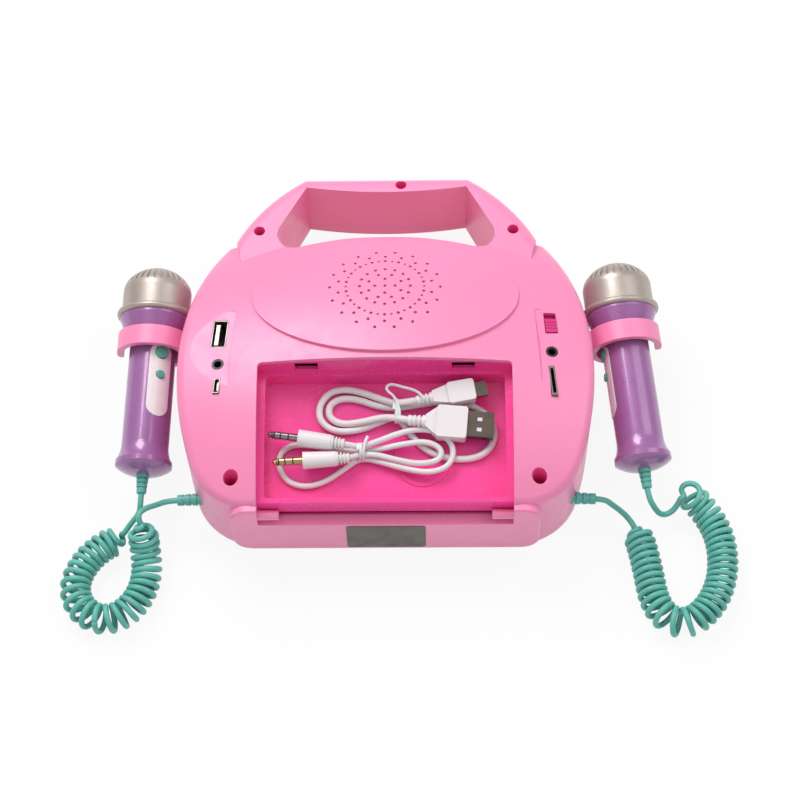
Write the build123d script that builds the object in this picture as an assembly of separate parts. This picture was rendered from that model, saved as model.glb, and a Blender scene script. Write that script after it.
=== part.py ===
from build123d import *

import os
from math import atan2, cos, degrees, radians, sin, sqrt, tan

# Portable karaoke player with two wired microphones, lying on its front face.
# Millimetres. +Z leaves the machine's back, +Y points to the carrying handle, +X is right seen from behind.
# z = 0 is the plane that the front face rests on, and y = 0 the plane of the base that it stands on.

FRAME_ORIGIN = (1.9, 91.0, 0.0)   # origin of the written frame: under the middle of the whole without its cords

# ---------------------------------------------------------------- housing
WALL = 2.4                 # moulded wall of both shells
PARTING_Z = 10.0           # joint between the front and the rear shell
HALF_WIDTH = 95.4          # half of the widest place of the housing
WIDEST_Y = 69.0
SIDE_RADIUS = 147.0        # long curve of each side, seen from behind
CORNER_RADIUS = 30.0       # lower corners, seen from behind
UNDERSIDE_Y = 3.0          # underside of the housing, beside the plinth
SHOULDER_Y = 144.0
SHOULDER_RADIUS = 6.0
FRONT_EDGE_RADIUS = 4.0
REAR_EDGE_RADIUS = 5.0

# The back is a barrel: an arc across the width, turned about an axis parallel to X.
BACK_PEAK_Y = 67.4
BACK_PEAK_Z = 70.0
BACK_RADIUS = 136.9        # curve from the base to the handle
BACK_CROWN_RADIUS = 360.0  # curve across the width

PLINTH_HALF_WIDTH = 70.0
PLINTH_REAR_Z = 47.0
PLINTH_FRONT_Z = 6.0
PLINTH_CORNER_RADIUS = 9.0
PLINTH_CHAMFER = 0.8

# ---------------------------------------------------------------- handle
HANDLE_FRONT_Z = 4.0
HANDLE_REAR_Z = 42.0       # rear face at the grip
HANDLE_ROOT_RISE = 4.0     # the rear face is this much higher where it meets the body
HANDLE_TOP_Y = 179.9
HANDLE_CORNER_X = 39.4
HANDLE_OUTER_BULGE = 3.2   # how far the outside of each leg stands out from a straight line
HANDLE_ROOT_X = 71.0
HANDLE_DRAFT = 3.0         # degrees; the outside widens towards the front
GRIP_THICKNESS = 6.0
GRIP_SWELL = 3.2           # the grip is this much thicker in its middle
OPENING_CORNER_X = 38.6
OPENING_ROOT_X = 61.7      # where the arch and the inside of a leg would meet in a sharp corner
OPENING_ROUNDING = 9.0
ARCH_TOP_Y = 143.2         # top of the body between the legs of the handle
ARCH_RADIUS = 140.0
HANDLE_OUTER_EDGE_RADIUS = 7.0
HANDLE_FRONT_EDGE_RADIUS = 5.0

# ---------------------------------------------------------------- vent panel
VENT_Y = 104.0
VENT_HALF_WIDTH = 61.7
VENT_HALF_HEIGHT = 35.2
VENT_STEP = 1.8            # height of the step at its lower edge
VENT_FADE = 2.9            # shift towards the base that lets the step fade out at the top
VENT_HOLES_Y = 105.5
VENT_HOLE = 1.5
VENT_SMALL_HOLE = 1.1
VENT_RINGS = (             # radius, holes, first angle, hole diameter
    (4.7, 4, 0, VENT_HOLE),
    (8.0, 8, 22.5, VENT_HOLE),
    (11.7, 16, 0, VENT_HOLE),
    (18.1, 18, 10, VENT_HOLE),
    (18.1, 18, 0, VENT_SMALL_HOLE),
    (21.8, 18, 10, VENT_HOLE),
    (25.5, 18, 0, VENT_HOLE),
)

# ---------------------------------------------------------------- storage bay
BAY_HALF_WIDTH = 57.6
BAY_TOP_Y = 66.0
BAY_CORNER_RADIUS = 2.0
BAY_WALL = 2.0
BAY_FLOOR_Z = 38.0
LEDGE_Z = 56.0             # seat of the lid at the top wall
LEDGE_SIDE_WIDTH = 3.2
LEDGE_TOP_WIDTH = 1.6
LEDGE_LOW_Z = 44.0         # top of the lower wall, where the ledge ends
LEDGE_CURVE = 2.2          # bow of the ledge between its two ends
RECESS_Z = 33.0            # sill of the recess for the lid's lower edge
BAY_FIT = 0.15             # gap between the tub and the shell around it
CATCH_SLOT_X = 35.6
CATCH_SLOT_WIDTH = 10.4
CATCH_SLOT_HEIGHT = 6.0
CATCH_SLOT_Z = 58.4
HINGE_STUB_DIAMETER = 4.6
HINGE_STUB_LENGTH = 9.6
HINGE_STUB_Z = 37.6
HINGE_STUB_Y = 3.0
FLOOR_BOSS_DIAMETER = 26.0
FLOOR_BOSS_HEIGHT = 0.5
FLOOR_BOSS_X = 17.0
FLOOR_BOSS_Y = 27.0

# ---------------------------------------------------------------- screws
HANDLE_SCREW_BORE = 5.4
LOWER_SCREW_BORE = 6.8
SCREW_SEAT_Z = 22.0
SCREW_SHANK = 2.6
SCREW_HEAD = 4.6
SCREW_HEAD_HEIGHT = 2.2
SCREW_TIP_Z = 6.5
SCREW_CLEARANCE = 0.15
SCREW_SEAT_THICKNESS = 2.0
BOSS_WALL = 1.8
FRONT_BOSS_DIAMETER = 7.0
LEG_SCREW = (60.5, 147.7)
GRIP_SCREW = (7.0, 175.2)
LOWER_SCREW = (69.0, 15.0)

# ---------------------------------------------------------------- port panels
FACET_X = 76.0             # centre line of the sockets
FACET_Y = 72.0
FACET_OUTWARD_TILT = 8.0
FACET_UPWARD_TILT = 4.0
FACET_LEAN = 4.0           # the sockets lean this much towards the middle at their upper ends
FACET_SINK = 1.2           # how far its centre lies under the curved back
FACET_INNER_TOP_X = 68.4
FACET_INNER_LOW_X = 71.4
FACET_TOP_Y = 96.0
FACET_LOW_Y = 42.0
FACET_WALL = 2.2
USB_A_Y = 83.9
JACK_LEFT_Y = 67.7
MICRO_USB_Y = 56.4
SWITCH_Y = 88.6
JACK_RIGHT_Y = 73.2
CARD_SLOT_Y = 58.0
USB_A_WIDTH = 14.5
USB_A_HEIGHT = 7.0
USB_A_DEPTH = 13.0
SOCKET_SHEET = 0.45
USB_TONGUE_WIDTH = 11.0
USB_TONGUE_HEIGHT = 1.9
MICRO_USB_WIDTH = 7.6
MICRO_USB_HEIGHT = 2.8
MICRO_USB_DEPTH = 6.0
MICRO_TONGUE_WIDTH = 4.4
MICRO_TONGUE_HEIGHT = 0.7
JACK_BORE = 3.6
JACK_NOSE = 5.4
JACK_BODY = 9.0
JACK_DEPTH = 12.0
CARD_SLOT_WIDTH = 15.0
CARD_SLOT_HEIGHT = 2.6
CARD_SLOT_DEPTH = 14.0
PORT_CLEARANCE = 0.15
SWITCH_SLOT_LENGTH = 11.0
SWITCH_SLOT_WIDTH = 5.8
SWITCH_KNOB_LENGTH = 7.0
SWITCH_TRAVEL = 3.2
SWITCH_CLEARANCE = 0.3
SWITCH_PROUD = 0.6
SWITCH_KNOB_THICKNESS = 1.8
SWITCH_STEM = 3.0
SWITCH_BODY_HEIGHT = 6.0
SWITCH_BODY_WALL = 1.3
SWITCH_BODY_GAP = 0.8      # between the port panel and the body behind it
BOARD_THICKNESS = 1.6
PORT_BOARD_WIDTH = 15.0
PORT_BOARD_LENGTH = 50.0

# ---------------------------------------------------------------- front
FRONT_RECESS = 1.2         # the front parts stay this far behind the plane that it rests on
FRONT_RIM = 8.0            # width of the rim that the machine rests on
SPEAKER_Y = 92.0
SPEAKER_GRILLE_DIAMETER = 82.0
FRONT_PANEL_THICKNESS = 1.8
GRILLE_SLOT_RADII = (10.0, 17.5, 25.0, 32.5)
GRILLE_SLOT_WIDTH = 3.2
GRILLE_SPOKE_WIDTH = 3.0
GRILLE_SPOKES = 3
LIGHT_RING_WIDTH = 5.0
RING_FIT = 0.2
SPEAKER_SHELF_Z = 5.0      # inside face of the seat behind the grille
SPEAKER_SHELF_BORDER = 4.0
SPEAKER_OPENING = 68.0
SPEAKER_RIM = 88.0
SPEAKER_SHEET = 1.2
BASKET_RADIUS = 38.0
BASKET_DEPTH = 13.0
MAGNET_DIAMETER = 40.0
MAGNET_DEPTH = 10.0
CONE_RIM_WIDTH = 3.0
CONE_THROAT = 10.0
CONE_DEPTH = 8.0
CONE_SHEET = 0.8
FASCIA_Y = 29.0
FASCIA_WIDTH = 92.0
FASCIA_HEIGHT = 22.0
FASCIA_BORDER = 3.0
KEY_COUNT = 5
KEY_PITCH = 17.0
KEY_DIAMETER = 10.0
KEY_PROUD = 0.6
KEY_FLANGE = 1.2
KEY_FLANGE_THICKNESS = 1.0
KEY_CLEARANCE = 0.25
MAIN_BOARD_Z = 14.0
MAIN_BOARD_WIDTH = 100.0
MAIN_BOARD_LENGTH = 38.0
BOARD_POST = 6.0
BOARD_POST_INSET = 5.0
CELL_DIAMETER = 18.0
CELL_LENGTH = 62.0
CELL_X = -57.0
CELL_LOW_Y = 73.0
CELL_CRADLE = 3.0          # thickness of the two ribs that carry the cell

# ---------------------------------------------------------------- microphones
MIC_LEFT_RING = (-110.2, 93.9, 30.0)     # centre of the left clip
MIC_RIGHT_RING = (112.2, 94.9, 30.0)
MIC_RISE = 6.5                           # degrees; the head leans this much towards the back
MIC_LEFT_LEAN = 2.2                      # and this much towards the body
MIC_RIGHT_LEAN = 6.0
MIC_LEFT_FACING = 31.0                   # turn of the inlay panel from +Z towards the body
MIC_RIGHT_FACING = 85.0
BARREL_RADIUS = 11.0
MIC_RIM_RADIUS = 13.2
MIC_FLANGE_RADIUS = 18.2
MIC_FLANGE_INNER_RADIUS = 15.0
MIC_FLANGE_HEIGHT = 3.0
MIC_FLANGE_ROUNDING = 1.4
MIC_GRILLE_RADIUS = 16.2
MIC_GRILLE_STRAIGHT = 10.0
MIC_DOME_HEIGHT = 12.5
MIC_DOME_CORNER = 9.0                    # arc between the straight part and the flatter crown
MIC_GRILLE_WALL = 1.4
MIC_GRILLE_SLOTS = 30
MIC_GRILLE_SLOT_WIDTH = 1.0
MIC_GRILLE_SLOT_DEPTH = 0.7
MIC_SHOULDER = 13.3                      # flange plane above the centre of the clip
MIC_NECK_RADIUS = 16.6
MIC_NECK_EDGE = 1.2
MIC_NECK_LENGTH = 14.0
MIC_LENGTH = 71.5                        # flange plane to the upper edge of the base rim
MIC_FLARE_HEIGHT = 8.0
MIC_RIM_HEIGHT = 2.2
MIC_BASE_DOME = 3.6
MIC_RELIEF_SOCKET = 5.0
CAPSULE_RADIUS = 9.0
CAPSULE_HEIGHT = 11.0
PANEL_WIDTH = 10.8
PANEL_TOP = 15.0                         # top of the inlay panel under the flange plane
PANEL_LENGTH = 36.5
PANEL_DEPTH = 1.2
PANEL_PROUD = 0.25
LARGE_BUTTON = 6.0
SMALL_BUTTON = 3.9
LARGE_BUTTON_DROP = 20.0                 # under the flange plane
SMALL_BUTTON_DROP = 31.0
BUTTON_PROUD = 0.9
BUTTON_TRAVEL = 0.8
BUTTON_FLANGE = 0.8
BUTTON_FLANGE_THICKNESS = 0.9
BUTTON_CLEARANCE = 0.2
RELIEF_RADIUS = 3.0
RELIEF_LENGTH = 9.0
RELIEF_TIP_RADIUS = 2.2
RELIEF_GROOVES = 3
RELIEF_GROOVE = 0.9

# ---------------------------------------------------------------- clips and glands
CLIP_INNER_RADIUS = 13.9
CLIP_WALL = 2.9
CLIP_HEIGHT = 9.4
CLIP_GAP_START = 192.0     # open part of the ring, in degrees from the body side over the back
CLIP_GAP_END = 256.0
CLIP_ARM_DEPTH = 12.0
CLIP_ARM_REACH = 24.0
GLAND_LEFT = (19.0, 20.0)  # y and z of the middle of each gland
GLAND_RIGHT = (18.6, 20.0)
GLAND_RADIUS = 3.0
GLAND_LENGTH = 10.0
GLAND_RIBS = 3
GLAND_GROOVE = 1.2
GLAND_NECK_RADIUS = 2.1
GLAND_STUB = 6.0
GLAND_DROOP = 6.0          # degrees; the glands point a little down to the resting plane

# ---------------------------------------------------------------- cords
CURLY_WIRE = 3.2
COIL_DIAMETER = 14.4
COIL_Z = COIL_DIAMETER / 2 + 0.1
RUN_SHARE = 0.45           # each arc of a route takes this share of the shorter run beside it

COIL_LEFT_ROUTE = (
    (-111.9, 4.5, 25.0), (-111.0, -2.0, 11.0), (-109.9, -12.5, COIL_Z), (-112.5, -24.0, COIL_Z),
    (-120.5, -33.5, COIL_Z), (-131.5, -35.5, COIL_Z), (-140.8, -28.5, COIL_Z), (-143.5, -17.5, COIL_Z),
    (-139.0, -6.5, COIL_Z), (-131.0, 1.5, COIL_Z), (-123.6, 4.8, COIL_Z),
)
COIL_RIGHT_ROUTE = (
    (140.6, 21.6, COIL_Z), (148.6, 15.0, COIL_Z), (153.4, 5.0, COIL_Z), (154.4, -7.0, COIL_Z),
    (152.6, -18.5, COIL_Z), (147.4, -29.5, COIL_Z), (138.0, -38.0, COIL_Z), (127.6, -37.0, COIL_Z),
    (121.6, -27.5, COIL_Z), (120.0, -15.5, COIL_Z), (118.2, -4.0, COIL_Z), (115.6, 7.0, COIL_Z),
)

# ---------------------------------------------------------------- loose cables, laid out on the floor of the bay
BAY_SLOPE = 9.0            # degrees; the floor rises towards the handle
USB_WIRE = 3.2
AUDIO_WIRE = 2.7
CABLE_REST = 0.8           # gap above the floor, clear of the boss on it
USB_TIE = (4.7, 45.0)      # across and up the floor
AUDIO_TIE = (-11.2, 23.7)
TIE_WIDTH = 1.6
TIE_THICKNESS = 0.6
USB_PLUG_HEIGHT = 6.6      # axis of each plug above the floor
MICRO_PLUG_HEIGHT = 7.9
AUDIO_PLUG_HEIGHT = 8.2


def side_x(y):
    """Half width of the side curve at y."""
    centre = HALF_WIDTH - SIDE_RADIUS
    return centre + sqrt(SIDE_RADIUS ** 2 - (y - WIDEST_Y) ** 2)


def back_z(x, y):
    """Height of the curved back."""
    drop = BACK_CROWN_RADIUS - sqrt(BACK_CROWN_RADIUS ** 2 - x ** 2)
    radius = BACK_RADIUS - drop
    return BACK_PEAK_Z - BACK_RADIUS + sqrt(radius ** 2 - (y - BACK_PEAK_Y) ** 2)


def unit(vector):
    return Vector(*vector).normalized()


def mirrored_face(half_edges):
    """Face bounded by a chain of edges at X >= 0 and its mirror image."""
    return make_face(list(half_edges) + [edge.mirror(Plane.YZ) for edge in half_edges])


def tube(route, diameter):
    """Round tube along a route of points, each corner an arc as large as its two runs allow."""
    points = [Vector(*point) for point in route]
    radii = []
    for before, corner, after in zip(points, points[1:], points[2:]):
        run_in = corner - before
        run_out = after - corner
        half_turn = radians(run_in.get_angle(run_out) / 2)
        radii.append(RUN_SHARE * min(run_in.length, run_out.length) / tan(half_turn))
    path = FilletPolyline(*points, radius=radii)
    start = Plane(origin=path @ 0, z_dir=path % 0)
    solid = sweep(start * Circle(diameter / 2), path=path)
    share = solid.volume / (path.length * 3.14159 * diameter ** 2 / 4)
    print(f"tube {diameter:.1f}: length {path.length:.0f}, volume share {share:.3f}, radii",
          " ".join(f"{radius:.0f}" for radius in radii))
    return solid


def ring(outer_radius, inner_radius, height, z=0.0):
    """Flat ring standing on z."""
    return Pos(0, 0, z) * extrude(Circle(outer_radius) - Circle(inner_radius), height)


def disc(radius, height, z=0.0):
    return Pos(0, 0, z) * extrude(Circle(radius), height)


def bar(width, length, height, z=0.0):
    """Box standing on z, centred on X and Y."""
    return Pos(0, 0, z) * extrude(Rectangle(width, length), height)


def largest(shape):
    """Main solid of a shape, without the crumbs of a cut."""
    return max(shape.solids(), key=lambda solid: solid.volume)


def save(name, shape):
    """Write one node, moved into the frame whose origin is FRAME_ORIGIN."""
    x, y, z = FRAME_ORIGIN
    solids = [Pos(-x, -y, -z) * solid for solid in shape.solids()]
    export_step(solids[0] if len(solids) == 1 else Compound(solids), os.path.join("parts", name + ".step"))


# ================================================================ housing

def barrel(inset=0.0, shift_y=0.0, shift_z=0.0):
    """Solid under the curved back, moved inwards by inset."""
    axis_z = BACK_PEAK_Z - BACK_RADIUS
    reach = HALF_WIDTH + 15
    radius = BACK_CROWN_RADIUS - inset
    top = BACK_PEAK_Z - inset
    edge_z = top - radius + sqrt(radius ** 2 - reach ** 2)
    profile = Plane.XZ * make_face([
        Line((-reach, axis_z), (reach, axis_z)),
        Line((reach, axis_z), (reach, edge_z)),
        ThreePointArc((reach, edge_z), (0, top), (-reach, edge_z)),
        Line((-reach, edge_z), (-reach, axis_z)),
    ])
    turned = revolve(profile, Axis((0, 0, axis_z), (1, 0, 0)), 360)
    return Pos(0, BACK_PEAK_Y + shift_y, shift_z) * turned


def body_outline():
    """Outline of the housing without its handle, seen from behind."""
    low_x = side_x(UNDERSIDE_Y)
    shoulder_x = side_x(SHOULDER_Y)
    middle_y = (UNDERSIDE_Y + SHOULDER_Y) / 2
    face = mirrored_face([
        Line((0, UNDERSIDE_Y), (low_x, UNDERSIDE_Y)),
        ThreePointArc((low_x, UNDERSIDE_Y), (side_x(middle_y), middle_y), (shoulder_x, SHOULDER_Y)),
        Line((shoulder_x, SHOULDER_Y), (0, SHOULDER_Y)),
    ])
    low = [v for v in face.vertices() if abs(v.Y - UNDERSIDE_Y) < 0.01 and abs(v.X) > 1]
    face = fillet(low, CORNER_RADIUS)
    high = [v for v in face.vertices() if abs(v.Y - SHOULDER_Y) < 0.01 and abs(v.X) > 1]
    return fillet(high, SHOULDER_RADIUS)


def opening_outline():
    """Finger opening between the handle and the arched top of the body."""
    grip_y = HANDLE_TOP_Y - GRIP_THICKNESS

    def arch(x):
        return (x, ARCH_TOP_Y - ARCH_RADIUS + sqrt(ARCH_RADIUS ** 2 - x ** 2))

    face = mirrored_face([
        ThreePointArc(arch(0), arch(OPENING_ROOT_X / 2), arch(OPENING_ROOT_X)),
        Line(arch(OPENING_ROOT_X), (OPENING_CORNER_X, grip_y)),
        ThreePointArc((OPENING_CORNER_X, grip_y), (OPENING_CORNER_X / 2, grip_y - 0.75 * GRIP_SWELL),
                      (0, grip_y - GRIP_SWELL)),
    ])
    roots = [v for v in face.vertices() if abs(abs(v.X) - OPENING_ROOT_X) < 0.01]
    return fillet(roots, OPENING_ROUNDING)


def handle_outline():
    """Handle from its roots in the body to the grip, without the opening."""
    root_y = SHOULDER_Y
    run = Vector(HANDLE_ROOT_X - HANDLE_CORNER_X, root_y - HANDLE_TOP_Y)
    middle = Vector((HANDLE_CORNER_X + HANDLE_ROOT_X) / 2, (HANDLE_TOP_Y + root_y) / 2)
    outward = Vector(-run.Y, run.X).normalized()
    bulge = middle + outward * HANDLE_OUTER_BULGE
    hidden_y = SHOULDER_Y - 22.0
    return mirrored_face([
        Line((0, hidden_y), (HANDLE_ROOT_X - 4, hidden_y)),
        Line((HANDLE_ROOT_X - 4, hidden_y), (HANDLE_ROOT_X, root_y)),
        ThreePointArc((HANDLE_ROOT_X, root_y), bulge, (HANDLE_CORNER_X, HANDLE_TOP_Y)),
        Line((HANDLE_CORNER_X, HANDLE_TOP_Y), (0, HANDLE_TOP_Y)),
    ])


def handle_solid():
    """Carrying handle, its rear face sloping down to the grip and its outside widening to the front."""
    top_z = HANDLE_REAR_Z + 2 * HANDLE_ROOT_RISE
    solid = Pos(0, 0, top_z) * extrude(handle_outline(), HANDLE_FRONT_Z - top_z, taper=-HANDLE_DRAFT)
    slope = degrees(atan2(HANDLE_ROOT_RISE, HANDLE_TOP_Y - SHOULDER_Y))
    above = Pos(0, HANDLE_TOP_Y, HANDLE_REAR_Z) * Rot(-slope, 0, 0) * bar(300, 300, 60)
    solid -= above
    outer = [e for e in solid.edges() if e.center().Y > SHOULDER_Y]
    rear = [e for e in outer if e.bounding_box().min.Z > HANDLE_REAR_Z - 1.5]
    solid = fillet(rear, HANDLE_OUTER_EDGE_RADIUS)
    front = [e for e in solid.edges() if e.bounding_box().max.Z < HANDLE_FRONT_Z + 0.01 and e.center().Y > SHOULDER_Y]
    solid = fillet(front, HANDLE_FRONT_EDGE_RADIUS)
    return solid - extrude(opening_outline(), 2 * BACK_PEAK_Z, both=True)


def rounded_body():
    """Housing without handle or cut-outs, its rear and front rims rounded."""
    solid = extrude(body_outline(), BACK_PEAK_Z + 10) & barrel()
    top_line = SHOULDER_Y - 0.01
    rim = [e for e in solid.edges() if e.bounding_box().min.Z > 20 and e.center().Y < top_line]
    solid = fillet(rim, REAR_EDGE_RADIUS)
    front = [e for e in solid.edges() if e.bounding_box().max.Z < 0.01]
    return fillet(front, FRONT_EDGE_RADIUS)


def plinth():
    """Raised pad under the base, which the machine stands on when it is upright."""
    pad = RectangleRounded(2 * PLINTH_HALF_WIDTH, PLINTH_REAR_Z - PLINTH_FRONT_Z, PLINTH_CORNER_RADIUS)
    solid = extrude(Plane.XZ * pad, -(UNDERSIDE_Y + WALL))
    solid = Pos(0, 0, (PLINTH_REAR_Z + PLINTH_FRONT_Z) / 2) * solid
    rim = [e for e in solid.edges() if abs(e.center().Y) < 0.01]
    return chamfer(rim, PLINTH_CHAMFER)


def vent_panel():
    """Oval panel that stands out of the back at its lower edge and fades into it at the top."""
    oval = Pos(0, VENT_Y) * Ellipse(VENT_HALF_WIDTH, VENT_HALF_HEIGHT)
    return (extrude(oval, BACK_PEAK_Z + 10) & barrel(shift_y=-VENT_FADE, shift_z=VENT_STEP)) - barrel(inset=WALL / 2)


def cavity():
    """Hollow inside both shells."""
    inner = offset(body_outline() - opening_outline(), -WALL, kind=Kind.INTERSECTION)
    solid = extrude(inner, BACK_PEAK_Z + 10) & barrel(inset=WALL)
    return solid - bar(400, 600, 2 * (WALL + FRONT_RECESS), -(WALL + FRONT_RECESS))


def facet_plane(side):
    """Plane of one port panel: x to the right, y towards the handle, z outwards."""
    normal = Vector(side * sin(radians(FACET_OUTWARD_TILT)), sin(radians(FACET_UPWARD_TILT)), 1).normalized()
    origin = (side * FACET_X, FACET_Y, back_z(FACET_X, FACET_Y) - FACET_SINK)
    return Plane(origin=origin, x_dir=(1, 0, -normal.X / normal.Z), z_dir=normal)


def facet_region(side, border=0.0):
    """Outline of one port panel in its own plane, open to the outside."""
    tops = FACET_TOP_Y - FACET_Y + border
    low = FACET_LOW_Y - FACET_Y - border
    outer = side * (HALF_WIDTH + 20 - FACET_X)
    inner_top = side * (FACET_INNER_TOP_X - FACET_X - border)
    inner_low = side * (FACET_INNER_LOW_X - FACET_X - border)
    face = make_face(Polyline((inner_low, low), (outer, low), (outer, tops), (inner_top, tops), close=True))
    corner = [v for v in face.vertices() if abs(v.X - inner_top) < 0.01 and abs(v.Y - tops) < 0.01]
    return fillet(corner, 2.0)


def port_place(side, y, lean=FACET_LEAN):
    """Place of a socket on its port panel, z outwards."""
    along = (y - FACET_Y) / cos(radians(FACET_UPWARD_TILT))
    return facet_plane(side).location * Pos(0, along, 0) * Rot(0, 0, side * lean)


def screw_places():
    """Place and bore of each housing screw."""
    places = [(LEG_SCREW[0] * side, LEG_SCREW[1], HANDLE_SCREW_BORE) for side in (-1, 1)]
    places += [(LOWER_SCREW[0] * side, LOWER_SCREW[1], LOWER_SCREW_BORE) for side in (-1, 1)]
    places.append((GRIP_SCREW[0], GRIP_SCREW[1], HANDLE_SCREW_BORE))
    return places


def gland_place(side):
    """Place of a cord gland on the side of the housing, z along the cord."""
    y, z = GLAND_LEFT if side < 0 else GLAND_RIGHT
    centre_y = UNDERSIDE_Y + CORNER_RADIUS
    side_centre = HALF_WIDTH - SIDE_RADIUS
    gap = SIDE_RADIUS - CORNER_RADIUS
    corner_x = side_centre + sqrt(gap ** 2 - (centre_y - WIDEST_Y) ** 2)
    x = corner_x + sqrt(CORNER_RADIUS ** 2 - (y - centre_y) ** 2)
    direction = Vector(side * cos(radians(GLAND_DROOP)), 0, -sin(radians(GLAND_DROOP)))
    return Plane(origin=(side * x, y, z), x_dir=(0, 1, 0), z_dir=direction)


def outer_form():
    """Outside of the housing with its handle, plinth, vent panel and port panels."""
    solid = rounded_body() + plinth() + handle_solid()
    solid += vent_panel()
    solid -= extrude(opening_outline(), 2 * BACK_PEAK_Z, both=True)
    for side in (-1, 1):
        solid -= facet_plane(side) * extrude(facet_region(side), 20)
    return solid


def inner_room():
    """Room inside both shells, around the port panels' walls and the screw bosses."""
    solid = cavity()
    for side in (-1, 1):
        frame = facet_plane(side)
        solid -= frame * Pos(0, 0, -FACET_WALL) * extrude(facet_region(side, border=WALL), 30)
    for x, y, bore in screw_places():
        if y < BACK_PEAK_Y:
            solid -= Pos(x, y, 0) * disc(bore / 2 + BOSS_WALL, 100, SCREW_SEAT_Z - SCREW_SEAT_THICKNESS)
            solid -= Pos(x, y, 0) * disc(FRONT_BOSS_DIAMETER / 2, 30)
    return solid


def whole_housing():
    """Both shells in one piece, with all that is moulded or cut across them."""
    solid = outer_form() - inner_room()
    for side in (-1, 1):
        solid -= gland_place(side).location * disc(GLAND_NECK_RADIUS + PORT_CLEARANCE, 40, -20)
    for x, y, bore in screw_places():
        hole = disc(bore / 2, 100, SCREW_SEAT_Z)
        pilot = disc(SCREW_SHANK / 2 + SCREW_CLEARANCE, SCREW_SEAT_Z - SCREW_TIP_Z + 1, SCREW_TIP_Z - 0.5)
        solid -= Pos(x, y, 0) * (hole + pilot)
    return largest(solid)


def bay_prism(grow=0.0):
    """Upright block of the bay's outline, from the underside to its top wall."""
    width = 2 * (BAY_HALF_WIDTH + grow)
    length = BAY_TOP_Y + grow + 10
    block = Rectangle(width, length)
    corners = [v for v in block.vertices() if v.Y > 0]
    block = fillet(corners, BAY_CORNER_RADIUS + grow)
    return Pos(0, BAY_TOP_Y + grow - length / 2, 0) * extrude(block, 100)


def vent_holes():
    """Drills of the rear vent, square to the curved back at its middle."""
    slope = degrees(atan2(VENT_HOLES_Y - BACK_PEAK_Y, BACK_RADIUS))
    place = Pos(0, VENT_HOLES_Y, back_z(0, VENT_HOLES_Y)) * Rot(-slope, 0, 0)
    drills = [disc(VENT_HOLE / 2, 20, -10)]
    for radius, count, first, diameter in VENT_RINGS:
        for index in range(count):
            angle = radians(first + 360 * index / count)
            drills.append(Pos(radius * cos(angle), radius * sin(angle), 0) * disc(diameter / 2, 20, -10))
    return [place * drill for drill in drills]


def port_cut(side, y, shape):
    """Opening of a port through its panel."""
    return port_place(side, y) * extrude(shape, 10, both=True)


def rear_shell(whole):
    """Rear shell with the bay opening, recess for the lid, vents, ports and hinge stubs."""
    gap = 2 * PORT_CLEARANCE
    cuts = [
        port_cut(-1, USB_A_Y, Rectangle(USB_A_HEIGHT + gap, USB_A_WIDTH + gap)),
        port_cut(-1, JACK_LEFT_Y, Circle(JACK_NOSE / 2 + PORT_CLEARANCE)),
        port_cut(-1, MICRO_USB_Y, Rectangle(MICRO_USB_HEIGHT + gap, MICRO_USB_WIDTH + gap)),
        port_cut(1, SWITCH_Y, Rectangle(SWITCH_SLOT_WIDTH, SWITCH_SLOT_LENGTH)),
        port_cut(1, JACK_RIGHT_Y, Circle(JACK_NOSE / 2 + PORT_CLEARANCE)),
        port_cut(1, CARD_SLOT_Y, Rectangle(CARD_SLOT_HEIGHT + gap, CARD_SLOT_WIDTH + gap)),
    ]
    shell = whole.cut(*[cut.solid() for cut in cuts + vent_holes()])
    shell -= bar(400, 600, 100, PARTING_Z - 100)
    shell -= bay_prism() & (Pos(0, 0, RECESS_Z) * bar(400, 600, 100))
    root = 2.0          # length of each stub inside the wall that carries it
    for side in (-1, 1):
        stub = Rot(0, 90, 0) * disc(HINGE_STUB_DIAMETER / 2, HINGE_STUB_LENGTH + root)
        start = BAY_HALF_WIDTH - HINGE_STUB_LENGTH if side > 0 else -BAY_HALF_WIDTH - root
        shell += Pos(start, HINGE_STUB_Y, HINGE_STUB_Z) * stub
    return shell


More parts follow.
